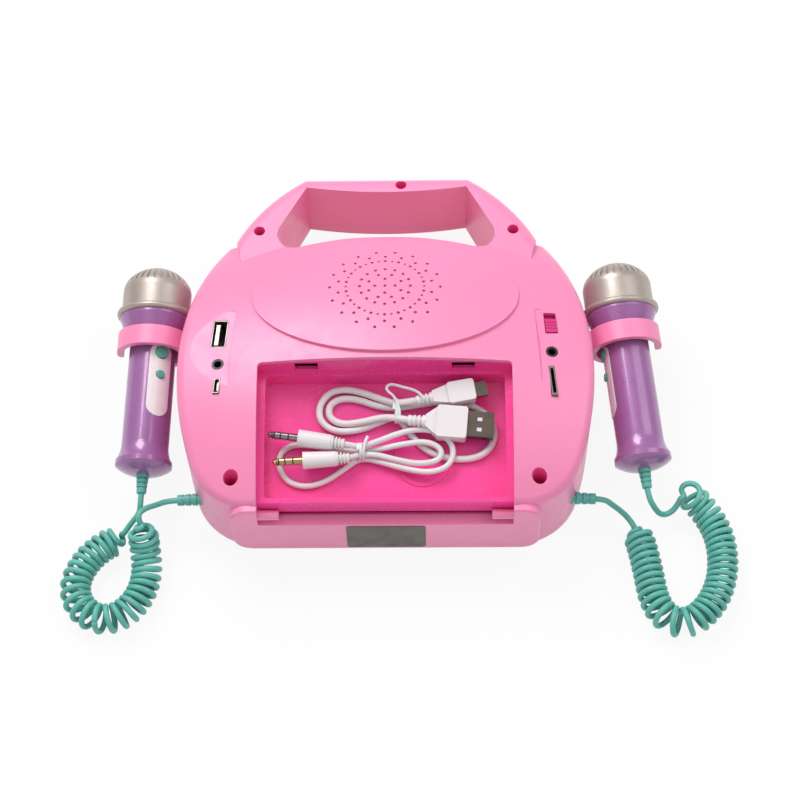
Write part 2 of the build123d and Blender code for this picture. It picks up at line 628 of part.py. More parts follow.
def front_shell(whole):
    """Front shell with its seats for the speaker grille and the key panel."""
    shell = whole & bar(400, 600, PARTING_Z + 10, -10)
    centre = Pos(0, SPEAKER_Y, 0)
    seat_radius = SPEAKER_GRILLE_DIAMETER / 2 + LIGHT_RING_WIDTH + 2 * RING_FIT
    shell += centre * disc(seat_radius + SPEAKER_SHELF_BORDER, SPEAKER_SHELF_Z - FRONT_RECESS, FRONT_RECESS)
    frame = Rectangle(FASCIA_WIDTH + 2 * FASCIA_BORDER, FASCIA_HEIGHT + 2 * FASCIA_BORDER)
    shell += Pos(0, FASCIA_Y, FRONT_RECESS) * extrude(frame, SPEAKER_SHELF_Z - FRONT_RECESS)
    for x in (-1, 1):
        for y in (-1, 1):
            place = Pos(x * (MAIN_BOARD_WIDTH / 2 - BOARD_POST_INSET),
                        FASCIA_Y + y * (MAIN_BOARD_LENGTH / 2 - BOARD_POST_INSET), 0)
            shell += place * disc(BOARD_POST / 2, MAIN_BOARD_Z - 2, 2)
    for y in (CELL_LOW_Y + 8, CELL_LOW_Y + CELL_LENGTH - 8):
        rib = Pos(CELL_X, y, 0) * bar(CELL_DIAMETER + 2, CELL_CRADLE, cell_height() - 2 - 2, 2)
        shell += rib - cell()
    pocket = offset(body_outline() - opening_outline(), -FRONT_RIM, kind=Kind.INTERSECTION)
    shell -= Pos(0, 0, FRONT_RECESS - 10) * extrude(pocket, 10)
    plate_z = FRONT_RECESS + FRONT_PANEL_THICKNESS
    shell -= centre * disc(seat_radius, plate_z + 1, -1)
    shell -= centre * disc(SPEAKER_OPENING / 2, 20, -5)
    panel = Rectangle(FASCIA_WIDTH + 2 * RING_FIT, FASCIA_HEIGHT + 2 * RING_FIT)
    shell -= Pos(0, FASCIA_Y, -1) * extrude(panel, plate_z + 1)
    window = Rectangle(FASCIA_WIDTH - 2 * FASCIA_BORDER, FASCIA_HEIGHT - 2 * FASCIA_BORDER)
    return shell - Pos(0, FASCIA_Y, -5) * extrude(window, 20)


def ledge_profile():
    """Side view of the room above the ledge, to be cut across the bay."""
    low = (UNDERSIDE_Y + WALL + BAY_FIT, LEDGE_LOW_Z)
    high = (BAY_TOP_Y, LEDGE_Z)
    middle = ((low[0] + high[0]) / 2, (low[1] + high[1]) / 2 + LEDGE_CURVE)
    return make_face([
        ThreePointArc((low[0] - 5, LEDGE_LOW_Z - 0.5), middle, high),
        Line(high, (BAY_TOP_Y, 100)),
        Line((BAY_TOP_Y, 100), (low[0] - 5, 100)),
        Line((low[0] - 5, 100), (low[0] - 5, LEDGE_LOW_Z - 0.5)),
    ])


def bay_floor():
    """Plane of the bay's sloping floor, its origin at the foot of the lower wall."""
    low_y = UNDERSIDE_Y + WALL + BAY_FIT + BAY_WALL
    rise = radians(BAY_SLOPE)
    return Plane(origin=(0, low_y, BAY_FLOOR_Z), x_dir=(1, 0, 0), z_dir=(0, -sin(rise), cos(rise)))


def storage_bay():
    """Tub under the opening: sloping floor, ledge for the lid and two slots for its catches."""
    low_y = UNDERSIDE_Y + WALL + BAY_FIT
    length = BAY_TOP_Y - low_y
    outer = bay_prism(grow=BAY_WALL) & Pos(0, low_y + (length + BAY_WALL) / 2, 0) * bar(400, length + BAY_WALL, 100)
    floor = bay_floor()
    under = Pos(floor.origin) * Rot(BAY_SLOPE, 0, 0) * bar(400, 400, 100, -100 - BAY_WALL)
    outer = (outer - under) & barrel(inset=WALL + BAY_FIT)
    room = Plane.YZ * ledge_profile()
    upper = extrude(room, BAY_HALF_WIDTH, both=True)
    inner_width = 2 * (BAY_HALF_WIDTH - LEDGE_SIDE_WIDTH)
    inner_length = length - BAY_WALL - LEDGE_TOP_WIDTH
    pit = RectangleRounded(inner_width, inner_length, BAY_CORNER_RADIUS)
    pit = Pos(0, low_y + BAY_WALL + inner_length / 2, 0) * extrude(pit, 100)
    pit -= Pos(floor.origin) * Rot(BAY_SLOPE, 0, 0) * bar(400, 400, 100, -100)
    tub = outer - upper - pit
    for x in (-CATCH_SLOT_X, CATCH_SLOT_X):
        tub -= Pos(x, BAY_TOP_Y, CATCH_SLOT_Z) * bar(CATCH_SLOT_WIDTH, 3 * BAY_WALL, CATCH_SLOT_HEIGHT)
    boss = floor.location * Pos(FLOOR_BOSS_X, FLOOR_BOSS_Y - low_y, 0) * ring(
        FLOOR_BOSS_DIAMETER / 2, FLOOR_BOSS_DIAMETER / 2 - BAY_WALL, FLOOR_BOSS_HEIGHT + 1, -1)
    return tub + boss


def housing_screws():
    """Five screws, each with its head at the bottom of a bore."""
    screw = disc(SCREW_HEAD / 2, SCREW_HEAD_HEIGHT, SCREW_SEAT_Z)
    screw += disc(SCREW_SHANK / 2, SCREW_SEAT_Z - SCREW_TIP_Z, SCREW_TIP_Z)
    screw -= Pos(0, 0, SCREW_SEAT_Z + SCREW_HEAD_HEIGHT) * Box(SCREW_HEAD * 0.6, 0.7, 2)
    screw -= Pos(0, 0, SCREW_SEAT_Z + SCREW_HEAD_HEIGHT) * Box(0.7, SCREW_HEAD * 0.6, 2)
    return Compound([(Pos(x, y, 0) * screw).solid() for x, y, _ in screw_places()])


# ================================================================ inside and front

def speaker_grille():
    """Round plate with rings of curved slots, flush in the front."""
    plate = disc(SPEAKER_GRILLE_DIAMETER / 2, FRONT_PANEL_THICKNESS)
    slots = [ring(radius + GRILLE_SLOT_WIDTH / 2, radius - GRILLE_SLOT_WIDTH / 2, 10, -5) for radius in GRILLE_SLOT_RADII]
    spokes = [Rot(0, 0, 180 * index / GRILLE_SPOKES) * bar(SPEAKER_GRILLE_DIAMETER, GRILLE_SPOKE_WIDTH, 20, -10)
              for index in range(GRILLE_SPOKES)]
    for slot in slots:
        for spoke in spokes:
            slot = slot - spoke
        plate -= slot
    return Pos(0, SPEAKER_Y, FRONT_RECESS) * plate


def light_ring():
    inner = SPEAKER_GRILLE_DIAMETER / 2 + RING_FIT
    solid = ring(inner + LIGHT_RING_WIDTH, inner, FRONT_PANEL_THICKNESS)
    return Pos(0, SPEAKER_Y, FRONT_RECESS) * solid


def speaker_frame():
    """Pressed basket with its magnet, standing on the seat behind the grille."""
    z = SPEAKER_SHELF_Z
    wall = SPEAKER_SHEET
    back_z_inside = z + BASKET_DEPTH
    throat = MAGNET_DIAMETER / 2 - 2
    outline = Polyline(
        (SPEAKER_OPENING / 2 - 1, z), (SPEAKER_RIM / 2, z), (SPEAKER_RIM / 2, z + wall),
        (BASKET_RADIUS + wall, z + wall), (throat + wall, back_z_inside + wall),
        (MAGNET_DIAMETER / 2, back_z_inside + wall), (MAGNET_DIAMETER / 2, back_z_inside + wall + MAGNET_DEPTH),
        (0, back_z_inside + wall + MAGNET_DEPTH), (0, back_z_inside), (throat, back_z_inside),
        (BASKET_RADIUS, z + wall), (SPEAKER_OPENING / 2 - 1, z + wall), close=True)
    solid = revolve(Plane.XZ * make_face(outline), Axis.Z, 360)
    return Pos(0, SPEAKER_Y, 0) * solid


def speaker_cone():
    """Paper cone with its surround resting on the rim of the basket."""
    z = SPEAKER_SHELF_Z + SPEAKER_SHEET
    rim = SPEAKER_OPENING / 2 + 1
    outline = Polyline(
        (rim, z), (rim, z + CONE_SHEET), (rim - CONE_RIM_WIDTH, z + CONE_SHEET),
        (CONE_THROAT, z + CONE_DEPTH), (0, z + CONE_DEPTH - 3), (0, z + CONE_DEPTH - 3 - CONE_SHEET),
        (CONE_THROAT, z + CONE_DEPTH - CONE_SHEET), (rim - CONE_RIM_WIDTH, z), close=True)
    solid = revolve(Plane.XZ * make_face(outline), Axis.Z, 360)
    return Pos(0, SPEAKER_Y, 0) * solid


def key_places():
    return [(index - (KEY_COUNT - 1) / 2) * KEY_PITCH for index in range(KEY_COUNT)]


def control_fascia():
    plate = RectangleRounded(FASCIA_WIDTH, FASCIA_HEIGHT, 1.5)
    for x in key_places():
        plate -= Pos(x, 0) * Circle(KEY_DIAMETER / 2 + KEY_CLEARANCE)
    return Pos(0, FASCIA_Y, FRONT_RECESS) * extrude(plate, FRONT_PANEL_THICKNESS)


def key(x):
    """Round front key with a flange behind the panel."""
    front = FRONT_RECESS - KEY_PROUD
    back = FRONT_RECESS + FRONT_PANEL_THICKNESS + 0.1
    cap = disc(KEY_DIAMETER / 2, back - front, front)
    rim = [e for e in cap.edges() if e.center().Z < front + 0.01]
    cap = chamfer(rim, 0.4)
    cap += disc(KEY_DIAMETER / 2 + KEY_FLANGE, KEY_FLANGE_THICKNESS, back)
    return Pos(x, FASCIA_Y, 0) * cap


def main_board():
    return Pos(0, FASCIA_Y, MAIN_BOARD_Z) * extrude(Rectangle(MAIN_BOARD_WIDTH, MAIN_BOARD_LENGTH), BOARD_THICKNESS)


def cell_height():
    """Height of the cell's axis."""
    return FRONT_RECESS + WALL + 1.4 + CELL_DIAMETER / 2


def cell():
    """Rechargeable cell lying along Y in its cradle."""
    can = Rot(-90, 0, 0) * disc(CELL_DIAMETER / 2, CELL_LENGTH)
    return Pos(CELL_X, CELL_LOW_Y, cell_height()) * can


# ================================================================ ports

def port_board(side):
    """Small board parallel to a port panel, behind its sockets."""
    middle = (SWITCH_Y + CARD_SLOT_Y) / 2 if side > 0 else (USB_A_Y + MICRO_USB_Y) / 2
    plate = bar(PORT_BOARD_WIDTH, PORT_BOARD_LENGTH, BOARD_THICKNESS, -CARD_SLOT_DEPTH - BOARD_THICKNESS)
    return port_place(side, middle, lean=0) * plate


def sheet_socket(height, width, depth, tongue_height, tongue_width, tongue_shift):
    """Folded metal socket with its tongue, its mouth on z = 0."""
    sheet = SOCKET_SHEET
    solid = bar(height, width, depth, -depth)
    solid -= bar(height - 2 * sheet, width - 2 * sheet, depth, sheet - depth)
    tongue = Pos(tongue_shift, 0, 0) * bar(tongue_height, tongue_width, depth - sheet - 0.8, sheet - depth)
    return solid + tongue


def leg_to_board(depth):
    """Foot that carries a short socket on its board."""
    return bar(3.0, 4.0, CARD_SLOT_DEPTH - depth + 0.5, -CARD_SLOT_DEPTH)


def usb_a_socket():
    solid = sheet_socket(USB_A_HEIGHT, USB_A_WIDTH, USB_A_DEPTH, USB_TONGUE_HEIGHT, USB_TONGUE_WIDTH, -1.2)
    return port_place(-1, USB_A_Y) * (solid + leg_to_board(USB_A_DEPTH))


def micro_usb_socket():
    solid = sheet_socket(MICRO_USB_HEIGHT, MICRO_USB_WIDTH, MICRO_USB_DEPTH,
                         MICRO_TONGUE_HEIGHT, MICRO_TONGUE_WIDTH, 0.4)
    leg = bar(MICRO_USB_HEIGHT, 4.0, CARD_SLOT_DEPTH - MICRO_USB_DEPTH + 0.5, -CARD_SLOT_DEPTH)
    return port_place(-1, MICRO_USB_Y) * (solid + leg)


def jack_socket(side, y):
    """3.5 mm jack: a nose through the panel and a square body behind it."""
    solid = disc(JACK_NOSE / 2, FACET_WALL + 0.5, -FACET_WALL - 0.5)
    solid += bar(JACK_BODY, JACK_BODY, CARD_SLOT_DEPTH - FACET_WALL - 0.5, -CARD_SLOT_DEPTH)
    solid -= disc(JACK_BORE / 2, JACK_DEPTH, -JACK_DEPTH)
    return port_place(side, y) * solid


def card_slot():
    solid = bar(CARD_SLOT_HEIGHT, CARD_SLOT_WIDTH, CARD_SLOT_DEPTH, -CARD_SLOT_DEPTH)
    solid -= bar(CARD_SLOT_HEIGHT - 2 * 0.5, CARD_SLOT_WIDTH - 2 * 1.0, CARD_SLOT_DEPTH, 1.5 - CARD_SLOT_DEPTH)
    return port_place(1, CARD_SLOT_Y) * solid


def switch_body():
    """Cup behind the panel in which the knob slides."""
    top = -FACET_WALL - SWITCH_BODY_GAP
    outer = bar(SWITCH_SLOT_WIDTH + 2 * SWITCH_BODY_WALL, SWITCH_SLOT_LENGTH + 2 * SWITCH_BODY_WALL,
                SWITCH_BODY_HEIGHT, top - SWITCH_BODY_HEIGHT)
    stem_room = bar(SWITCH_STEM + 2 * SWITCH_CLEARANCE, SWITCH_STEM + SWITCH_TRAVEL + 2 * SWITCH_CLEARANCE,
                    SWITCH_BODY_HEIGHT, top - SWITCH_BODY_HEIGHT + SWITCH_BODY_WALL)
    foot = bar(SWITCH_STEM, SWITCH_STEM, CARD_SLOT_DEPTH + top - SWITCH_BODY_HEIGHT + 0.1, -CARD_SLOT_DEPTH)
    return port_place(1, SWITCH_Y) * (outer - stem_room + foot)


def switch_knob():
    """Knob at the lower end of its slot, with a grip ridge."""
    width = SWITCH_SLOT_WIDTH - 2 * SWITCH_CLEARANCE
    top = SWITCH_PROUD
    cap = bar(width, SWITCH_KNOB_LENGTH, SWITCH_KNOB_THICKNESS, top - SWITCH_KNOB_THICKNESS)
    for shift in (-1.6, 0, 1.6):
        cap -= Pos(0, shift, top) * Box(width + 1, 0.6, 0.6)
    stem_low = -FACET_WALL - SWITCH_BODY_GAP - SWITCH_BODY_HEIGHT + SWITCH_BODY_WALL + SWITCH_CLEARANCE
    cap += bar(SWITCH_STEM, SWITCH_STEM, top - SWITCH_KNOB_THICKNESS - stem_low + 0.2, stem_low)
    return port_place(1, SWITCH_Y) * Pos(0, -SWITCH_TRAVEL / 2, 0) * cap


# ================================================================ clips and glands

def mic_axis(side):
    """Direction from the base of a microphone to its head."""
    lean = MIC_LEFT_LEAN if side < 0 else MIC_RIGHT_LEAN
    return unit((-side * tan(radians(lean)), 1, tan(radians(MIC_RISE))))


def clip_plane(side):
    """Plane of a clip: x towards the body, z along the microphone."""
    axis = mic_axis(side)
    inward = Vector(-side, 0, 0)
    inward = (inward - axis * inward.dot(axis)).normalized()
    centre = MIC_LEFT_RING if side < 0 else MIC_RIGHT_RING
    return Plane(origin=centre, x_dir=inward, z_dir=axis)


def mic_clip(side, body_form):
    """Open ring with rounded tips on a short arm that meets the side of the housing."""
    over_back = side           # sense of rotation from the body over the back
    outer = CLIP_INNER_RADIUS + CLIP_WALL
    gap = CLIP_GAP_END - CLIP_GAP_START
    middle = over_back * (CLIP_GAP_START + gap / 2)
    shape = Circle(outer) - Circle(CLIP_INNER_RADIUS)
    reach = 2 * outer
    half_gap = radians(gap / 2)
    wedge = make_face(Polyline((0, 0), (reach, reach * tan(half_gap)), (reach, -reach * tan(half_gap)), close=True))
    shape -= Rot(0, 0, middle) * wedge
    tips = [v for v in shape.vertices() if v.X < 0]
    shape = fillet(tips, CLIP_WALL / 2 - 0.05)
    band = extrude(shape, CLIP_HEIGHT / 2, both=True)
    arm = Pos(CLIP_INNER_RADIUS + CLIP_WALL / 2 + CLIP_ARM_REACH / 2, 0, 0) * Box(
        CLIP_ARM_REACH, CLIP_ARM_DEPTH, CLIP_HEIGHT)
    return (clip_plane(side) * band + clip_plane(side) * arm) - body_form


def ribbed_sleeve(radius, length, count, groove, tip_radius):
    """Ribbed strain relief from z = 0 outwards, tapering to its tip."""
    outline = Polyline((0, 0), (radius, 0), (tip_radius, length), (0, length), close=True)
    solid = revolve(Plane.XZ * make_face(outline), Axis.Z, 360)
    pitch = length / (count + 1)
    for index in range(count):
        place = pitch * (index + 1) - groove / 2
        solid -= ring(radius + 1, tip_radius - 0.2, groove, place)
    return solid


def gland(side, body_form):
    """Ribbed cord gland through the side of the housing."""
    sleeve = ribbed_sleeve(GLAND_RADIUS, GLAND_LENGTH + 3, GLAND_RIBS, GLAND_GROOVE, GLAND_RADIUS - 0.5)
    outside = gland_place(side).location * Pos(0, 0, -3) * sleeve - body_form
    outside = largest(outside)
    stub = gland_place(side).location * disc(GLAND_NECK_RADIUS, GLAND_STUB + 1, -GLAND_STUB)
    return outside + stub


# ================================================================ microphones

def mic_plane(side):
    """Plane of a microphone: origin on its flange, z to the head, x out of the inlay panel."""
    axis = mic_axis(side)
    centre = Vector(*(MIC_LEFT_RING if side < 0 else MIC_RIGHT_RING))
    turn = radians(MIC_LEFT_FACING if side < 0 else MIC_RIGHT_FACING)
    facing = Vector(-side * sin(turn), 0, cos(turn))
    facing = (facing - axis * facing.dot(axis)).normalized()
    return Plane(origin=centre + axis * MIC_SHOULDER, x_dir=facing, z_dir=axis)


def panel_cut(inner_radius, outer_radius):
    """Curved strip of the inlay panel, with round ends."""
    slot = SlotOverall(PANEL_LENGTH, PANEL_WIDTH, rotation=90)
    slot = Plane.YZ * (Pos(0, -PANEL_TOP - PANEL_LENGTH / 2) * slot)
    prism = extrude(slot, 30)
    return prism & ring(outer_radius, inner_radius, 100, -90)


def barrel_profile():
    """Half section of the microphone's neck, barrel and flared base."""
    rim_z = -MIC_LENGTH
    low_z = rim_z - MIC_RIM_HEIGHT
    bottom = low_z - MIC_BASE_DOME
    neck_low = -MIC_NECK_EDGE - MIC_NECK_LENGTH + 1.2
    flare_top = rim_z + MIC_FLARE_HEIGHT
    flare_mid = ((BARREL_RADIUS + MIC_RIM_RADIUS) / 2 - 0.55, rim_z + MIC_FLARE_HEIGHT / 2)
    return make_face([
        Line((0, 0), (MIC_NECK_RADIUS, 0)),
        Line((MIC_NECK_RADIUS, 0), (MIC_NECK_RADIUS, -MIC_NECK_EDGE)),
        Line((MIC_NECK_RADIUS, -MIC_NECK_EDGE), (BARREL_RADIUS, neck_low)),
        Line((BARREL_RADIUS, neck_low), (BARREL_RADIUS, flare_top)),
        ThreePointArc((BARREL_RADIUS, flare_top), flare_mid, (MIC_RIM_RADIUS, rim_z)),
        Line((MIC_RIM_RADIUS, rim_z), (MIC_RIM_RADIUS, low_z)),
        ThreePointArc((MIC_RIM_RADIUS, low_z), (MIC_RIM_RADIUS * 0.72, low_z - MIC_BASE_DOME * 0.62), (0, bottom)),
        Line((0, bottom), (0, 0)),
    ])


def mic_barrel():
    """Neck, barrel and flared base with the pockets for the panel, buttons and strain relief."""
    solid = revolve(Plane.XZ * barrel_profile(), Axis.Z, 360)
    panel_base = BARREL_RADIUS - PANEL_DEPTH
    solid -= panel_cut(panel_base, BARREL_RADIUS + 5)
    for diameter, drop in ((LARGE_BUTTON, LARGE_BUTTON_DROP), (SMALL_BUTTON, SMALL_BUTTON_DROP)):
        pocket = disc(diameter / 2 + BUTTON_FLANGE + BUTTON_CLEARANCE, 20, panel_base - button_depth())
        solid -= Pos(0, 0, -drop) * Rot(0, 90, 0) * pocket
    bottom = -MIC_LENGTH - MIC_RIM_HEIGHT - MIC_BASE_DOME
    return solid - disc(RELIEF_RADIUS, MIC_RELIEF_SOCKET + 1, bottom - 1)


def button_depth():
    """Depth of a button's pocket under the panel."""
    return BUTTON_FLANGE_THICKNESS + BUTTON_TRAVEL + 0.4


def mic_panel():
    solid = panel_cut(BARREL_RADIUS - PANEL_DEPTH, BARREL_RADIUS + PANEL_PROUD)
    for diameter, drop in ((LARGE_BUTTON, LARGE_BUTTON_DROP), (SMALL_BUTTON, SMALL_BUTTON_DROP)):
        solid -= Pos(0, 0, -drop) * Rot(0, 90, 0) * disc(diameter / 2 + BUTTON_CLEARANCE, 30)
    return solid


def mic_button(diameter, drop):
    """Button that stands out of the inlay panel, with a flange behind it."""
    panel_base = BARREL_RADIUS - PANEL_DEPTH
    top = BARREL_RADIUS + PANEL_PROUD + BUTTON_PROUD
    flange_low = panel_base - 0.25 - BUTTON_FLANGE_THICKNESS
    pin = disc(diameter / 2, top - flange_low, flange_low)
    rim = [e for e in pin.edges() if e.center().Z > top - 0.01]
    pin = fillet(rim, 0.5)
    flange = Rot(0, 90, 0) * disc(diameter / 2 + BUTTON_FLANGE, BUTTON_FLANGE_THICKNESS, flange_low)
    flange &= disc(flange_low + BUTTON_FLANGE_THICKNESS, 20, -10)
    return Pos(0, 0, -drop) * (Rot(0, 90, 0) * pin + flange)


def mic_flange():
    """Rolled metal lip between the neck and the grille."""
    width = MIC_FLANGE_RADIUS - MIC_FLANGE_INNER_RADIUS
    section = Pos(MIC_FLANGE_INNER_RADIUS + width / 2, MIC_FLANGE_HEIGHT / 2) * Rectangle(width, MIC_FLANGE_HEIGHT)
    outer = [v for v in section.vertices() if v.X > MIC_FLANGE_RADIUS - 0.01]
    return revolve(Plane.XZ * fillet(outer, MIC_FLANGE_ROUNDING), Axis.Z, 360)


def dome_frame():
    """Depth of the crown's centre below the straight part, and angle where the corner arc meets the crown."""
    reach = MIC_GRILLE_RADIUS - MIC_DOME_CORNER
    rise = MIC_DOME_HEIGHT - MIC_DOME_CORNER
    drop = (reach ** 2 - rise ** 2) / (2 * rise)
    return drop, atan2(drop, reach)


def dome_form(inset):
    """Solid under the grille's straight part and dome, moved inwards by inset."""
    drop, turn = dome_frame()
    low = MIC_FLANGE_HEIGHT
    high = low + MIC_GRILLE_STRAIGHT
    radius = MIC_GRILLE_RADIUS - inset
    corner = MIC_DOME_CORNER - inset
    crown = MIC_DOME_HEIGHT + drop - inset
    corner_x = MIC_GRILLE_RADIUS - MIC_DOME_CORNER
    halfway = (turn + radians(90)) / 2
    joint = (crown * cos(turn), high - drop + crown * sin(turn))
    top = (0, high - drop + crown)
    section = make_face([
        Line((0, low), (radius, low)),
        Line((radius, low), (radius, high)),
        ThreePointArc((radius, high), (corner_x + corner * cos(turn / 2), high + corner * sin(turn / 2)), joint),
        ThreePointArc(joint, (crown * cos(halfway), high - drop + crown * sin(halfway)), top),
        Line(top, (0, low)),
    ])
    return revolve(Plane.XZ * section, Axis.Z, 360)


def mic_grille():
    """Domed grille whose shoulder is ribbed all round."""
    drop, turn = dome_frame()
    crown = MIC_DOME_HEIGHT + drop
    centre_z = MIC_FLANGE_HEIGHT + MIC_GRILLE_STRAIGHT - drop
    shoulder = Pos(crown * cos(turn), 0, centre_z + crown * sin(turn)) * Rot(0, -degrees(turn), 0)
    blade = shoulder * Box(2 * MIC_GRILLE_SLOT_DEPTH, MIC_GRILLE_SLOT_WIDTH, 20)
    blades = [(Rot(0, 0, 360 * (index + 0.5) / MIC_GRILLE_SLOTS) * blade).solid() for index in range(MIC_GRILLE_SLOTS)]
    return dome_form(0).cut(*blades) - dome_form(MIC_GRILLE_WALL)


def mic_relief():
    """Strain relief in the foot of the microphone."""
    bottom = -MIC_LENGTH - MIC_RIM_HEIGHT - MIC_BASE_DOME
    sleeve = ribbed_sleeve(RELIEF_RADIUS, RELIEF_LENGTH, RELIEF_GROOVES, RELIEF_GROOVE, RELIEF_TIP_RADIUS)
    sleeve = Pos(0, 0, bottom) * Rot(180, 0, 0) * sleeve
    return sleeve + disc(RELIEF_RADIUS, MIC_RELIEF_SOCKET, bottom)


def microphone(side):
    """All pieces of one microphone, by node name."""
    name = "mic_left_" if side < 0 else "mic_right_"
    pieces = {
        "barrel": mic_barrel(),
        "flange": mic_flange(),
        "grille": mic_grille(),
        "capsule": disc(CAPSULE_RADIUS, CAPSULE_HEIGHT),
        "panel": mic_panel(),
        "button_large": mic_button(LARGE_BUTTON, LARGE_BUTTON_DROP),
        "button_small": mic_button(SMALL_BUTTON, SMALL_BUTTON_DROP),
        "relief": mic_relief(),
    }
    return {name + key: mic_plane(side).location * solid for key, solid in pieces.items()}


# ================================================================ cords

def relief_tip(side, beyond=0.0):
    """Point on a microphone's axis at, or beyond, the end of its strain relief, where its lead begins."""
    down = MIC_LENGTH + MIC_RIM_HEIGHT + MIC_BASE_DOME + RELIEF_LENGTH + beyond
    plane = mic_plane(side)
    return tuple(plane.origin - plane.z_dir * down)


def gland_tip(side, beyond=0.0):
    """Point on a gland's axis at, or beyond, its outer end."""
    place = gland_place(side)
    return tuple(place.origin + place.z_dir * (GLAND_LENGTH + beyond))


def cords():
    """Curly cords: each coil as one fat tube, and its two straight leads."""
    leads = {
        "cord_left_mic_lead": (relief_tip(-1), relief_tip(-1, 5.0), (-113.8, 13.6, 16.9), (-118.2, 10.6, 12.4),
                               (-122.6, 10.4, 8.2)),
        "cord_left_gland_lead": (gland_tip(-1), gland_tip(-1, 5.0), (-106.2, 15.6, 20.4), (-111.8, 12.6, 23.6),
                                 (-117.0, 8.6, 26.6)),
        "cord_right_mic_lead": (relief_tip(1), relief_tip(1, 5.0), (123.2, 15.1, 16.6), (125.8, 14.1, 11.7),
                                (129.4, 15.1, 7.4), (134.4, 17.4, 4.6)),
        "cord_right_gland_lead": (gland_tip(1), gland_tip(1, 4.5), (103.4, 17.6, 15.6), (108.2, 16.2, 10.8),
                                  (112.6, 13.6, 6.4)),
    }
    nodes = {name: tube(route, CURLY_WIRE) for name, route in leads.items()}
    nodes["cord_left_coil"] = tube(COIL_LEFT_ROUTE, COIL_DIAMETER)
    nodes["cord_right_coil"] = tube(COIL_RIGHT_ROUTE, COIL_DIAMETER)
    return nodes


# ================================================================ loose cables

def on_floor(u, v, height=0.0, turn=0.0):
    """Place on the floor of the bay: across, up the slope, height above it and turn."""
    return bay_floor().location * Pos(u, v, height) * Rot(0, 0, turn)


def hank_slab(circles, low, high):
    """Flat closed solid around the loops of a hank."""
    outline = make_hull([edge for u, v, r in circles for edge in (Pos(u, v) * Circle(r)).edges()])
    slab = Pos(0, 0, low) * extrude(outline, high - low)
    rims = [e for e in slab.edges() if abs(e.center().Z - low) < 0.01 or abs(e.center().Z - high) < 0.01]
    return fillet(rims, min(1.2, (high - low) / 2 - 0.1))


def usb_hank():
    """Hank of the USB cable: tied loops on the left and one loose loop to the right."""
    low = CABLE_REST
    loops = hank_slab(((-19.0, 45.2, 11.6), (USB_TIE[0] - 1.5, USB_TIE[1], 3.6)), low, low + 4.8)
    z = low + USB_WIRE / 2
    route = ((USB_TIE[0] - 1, 45.2, z), (14.0, 46.6, z), (24.5, 48.2, z), (35.0, 47.6, z), (44.0, 44.2, z),
             (49.6, 36.8, z), (49.4, 28.4, z), (43.8, 22.4, z), (35.6, 20.6, z), (27.0, 21.4, z))
    return on_floor(0, 0) * (loops + tube(route, USB_WIRE))


def plug_body(length, width, height, nose):
    """Moulded plug body along +X, narrowing to its strain relief."""
    body = extrude(RectangleRounded(length, width, 1.5), height / 2, both=True)
    outline = Polyline((-length / 2 - nose, 2.6), (-length / 2 - nose, -2.6),
                       (-length / 2 + 0.5, -width / 2 + 0.5), (-length / 2 + 0.5, width / 2 - 0.5), close=True)
    return body + extrude(make_face(outline), height / 2 - 1.0, both=True)


def relief_bar(length, radius, end_x):
    """Ribbed sleeve along X that ends at end_x."""
    sleeve = ribbed_sleeve(radius, length, 3, 0.9, radius - 0.6)
    return Pos(end_x, 0, 0) * Rot(0, -90, 0) * sleeve


def usb_a_plug():
    body = plug_body(14.0, 15.0, 7.4, 5.0)
    shell = Pos(7 + 6, 0, 0) * (Box(12, 12, 4.5) - Pos(1.0, 0, 0.9) * Box(12, 11.2, 1.8))
    for y in (-2.4, 2.4):
        shell -= Pos(0.5 + 7 + 5, y, 2.25) * Box(2.4, 2.0, 0.7)
    solid = body + shell + relief_bar(8.0, 2.9, -11.9)
    return on_floor(30.2, 36.2, USB_PLUG_HEIGHT, -5.0) * solid


def micro_usb_plug():
    body = plug_body(12.5, 10.0, 7.0, 7.0)
    shell = Pos(6.25 + 2.8, 0, 0) * (Box(5.6, 6.9, 1.9) - Pos(0.6, 0, 0) * Box(5.6, 6.2, 1.2))
    solid = body + shell + relief_bar(7.5, 2.7, -13.15)
    return on_floor(34.6, 50.4, MICRO_PLUG_HEIGHT, 10.0) * solid


def jack_plug():
    """3.5 mm three-pole plug along -X with its moulded grip."""
    tip = Polyline((0, 0), (0, 1.75), (-11.6, 1.75), (-12.2, 1.15), (-13.0, 1.6), (-14.0, 0), close=True)
    solid = revolve(make_face(tip), Axis.X, 360)
    for x in (-4.4, -8.0, -10.8):
        solid -= Pos(x, 0, 0) * Rot(0, 90, 0) * ring(3, 1.5, 0.6, -0.3)
    grip = Polyline((0, 0), (0, 4.0), (15.0, 3.4), (15.0, 0), close=True)
    solid += revolve(make_face(grip), Axis.X, 360)
    sleeve = ribbed_sleeve(3.2, 6.0, 3, 0.8, 2.2)
    return solid + Pos(15.0, 0, 0) * Rot(0, 90, 0) * sleeve


def audio_plug(index):
    places = ((-39.2, 29.2, -8.0), (-37.0, 18.6, 3.0))
    u, v, turn = places[index]
    return on_floor(u, v, AUDIO_PLUG_HEIGHT, turn) * jack_plug()


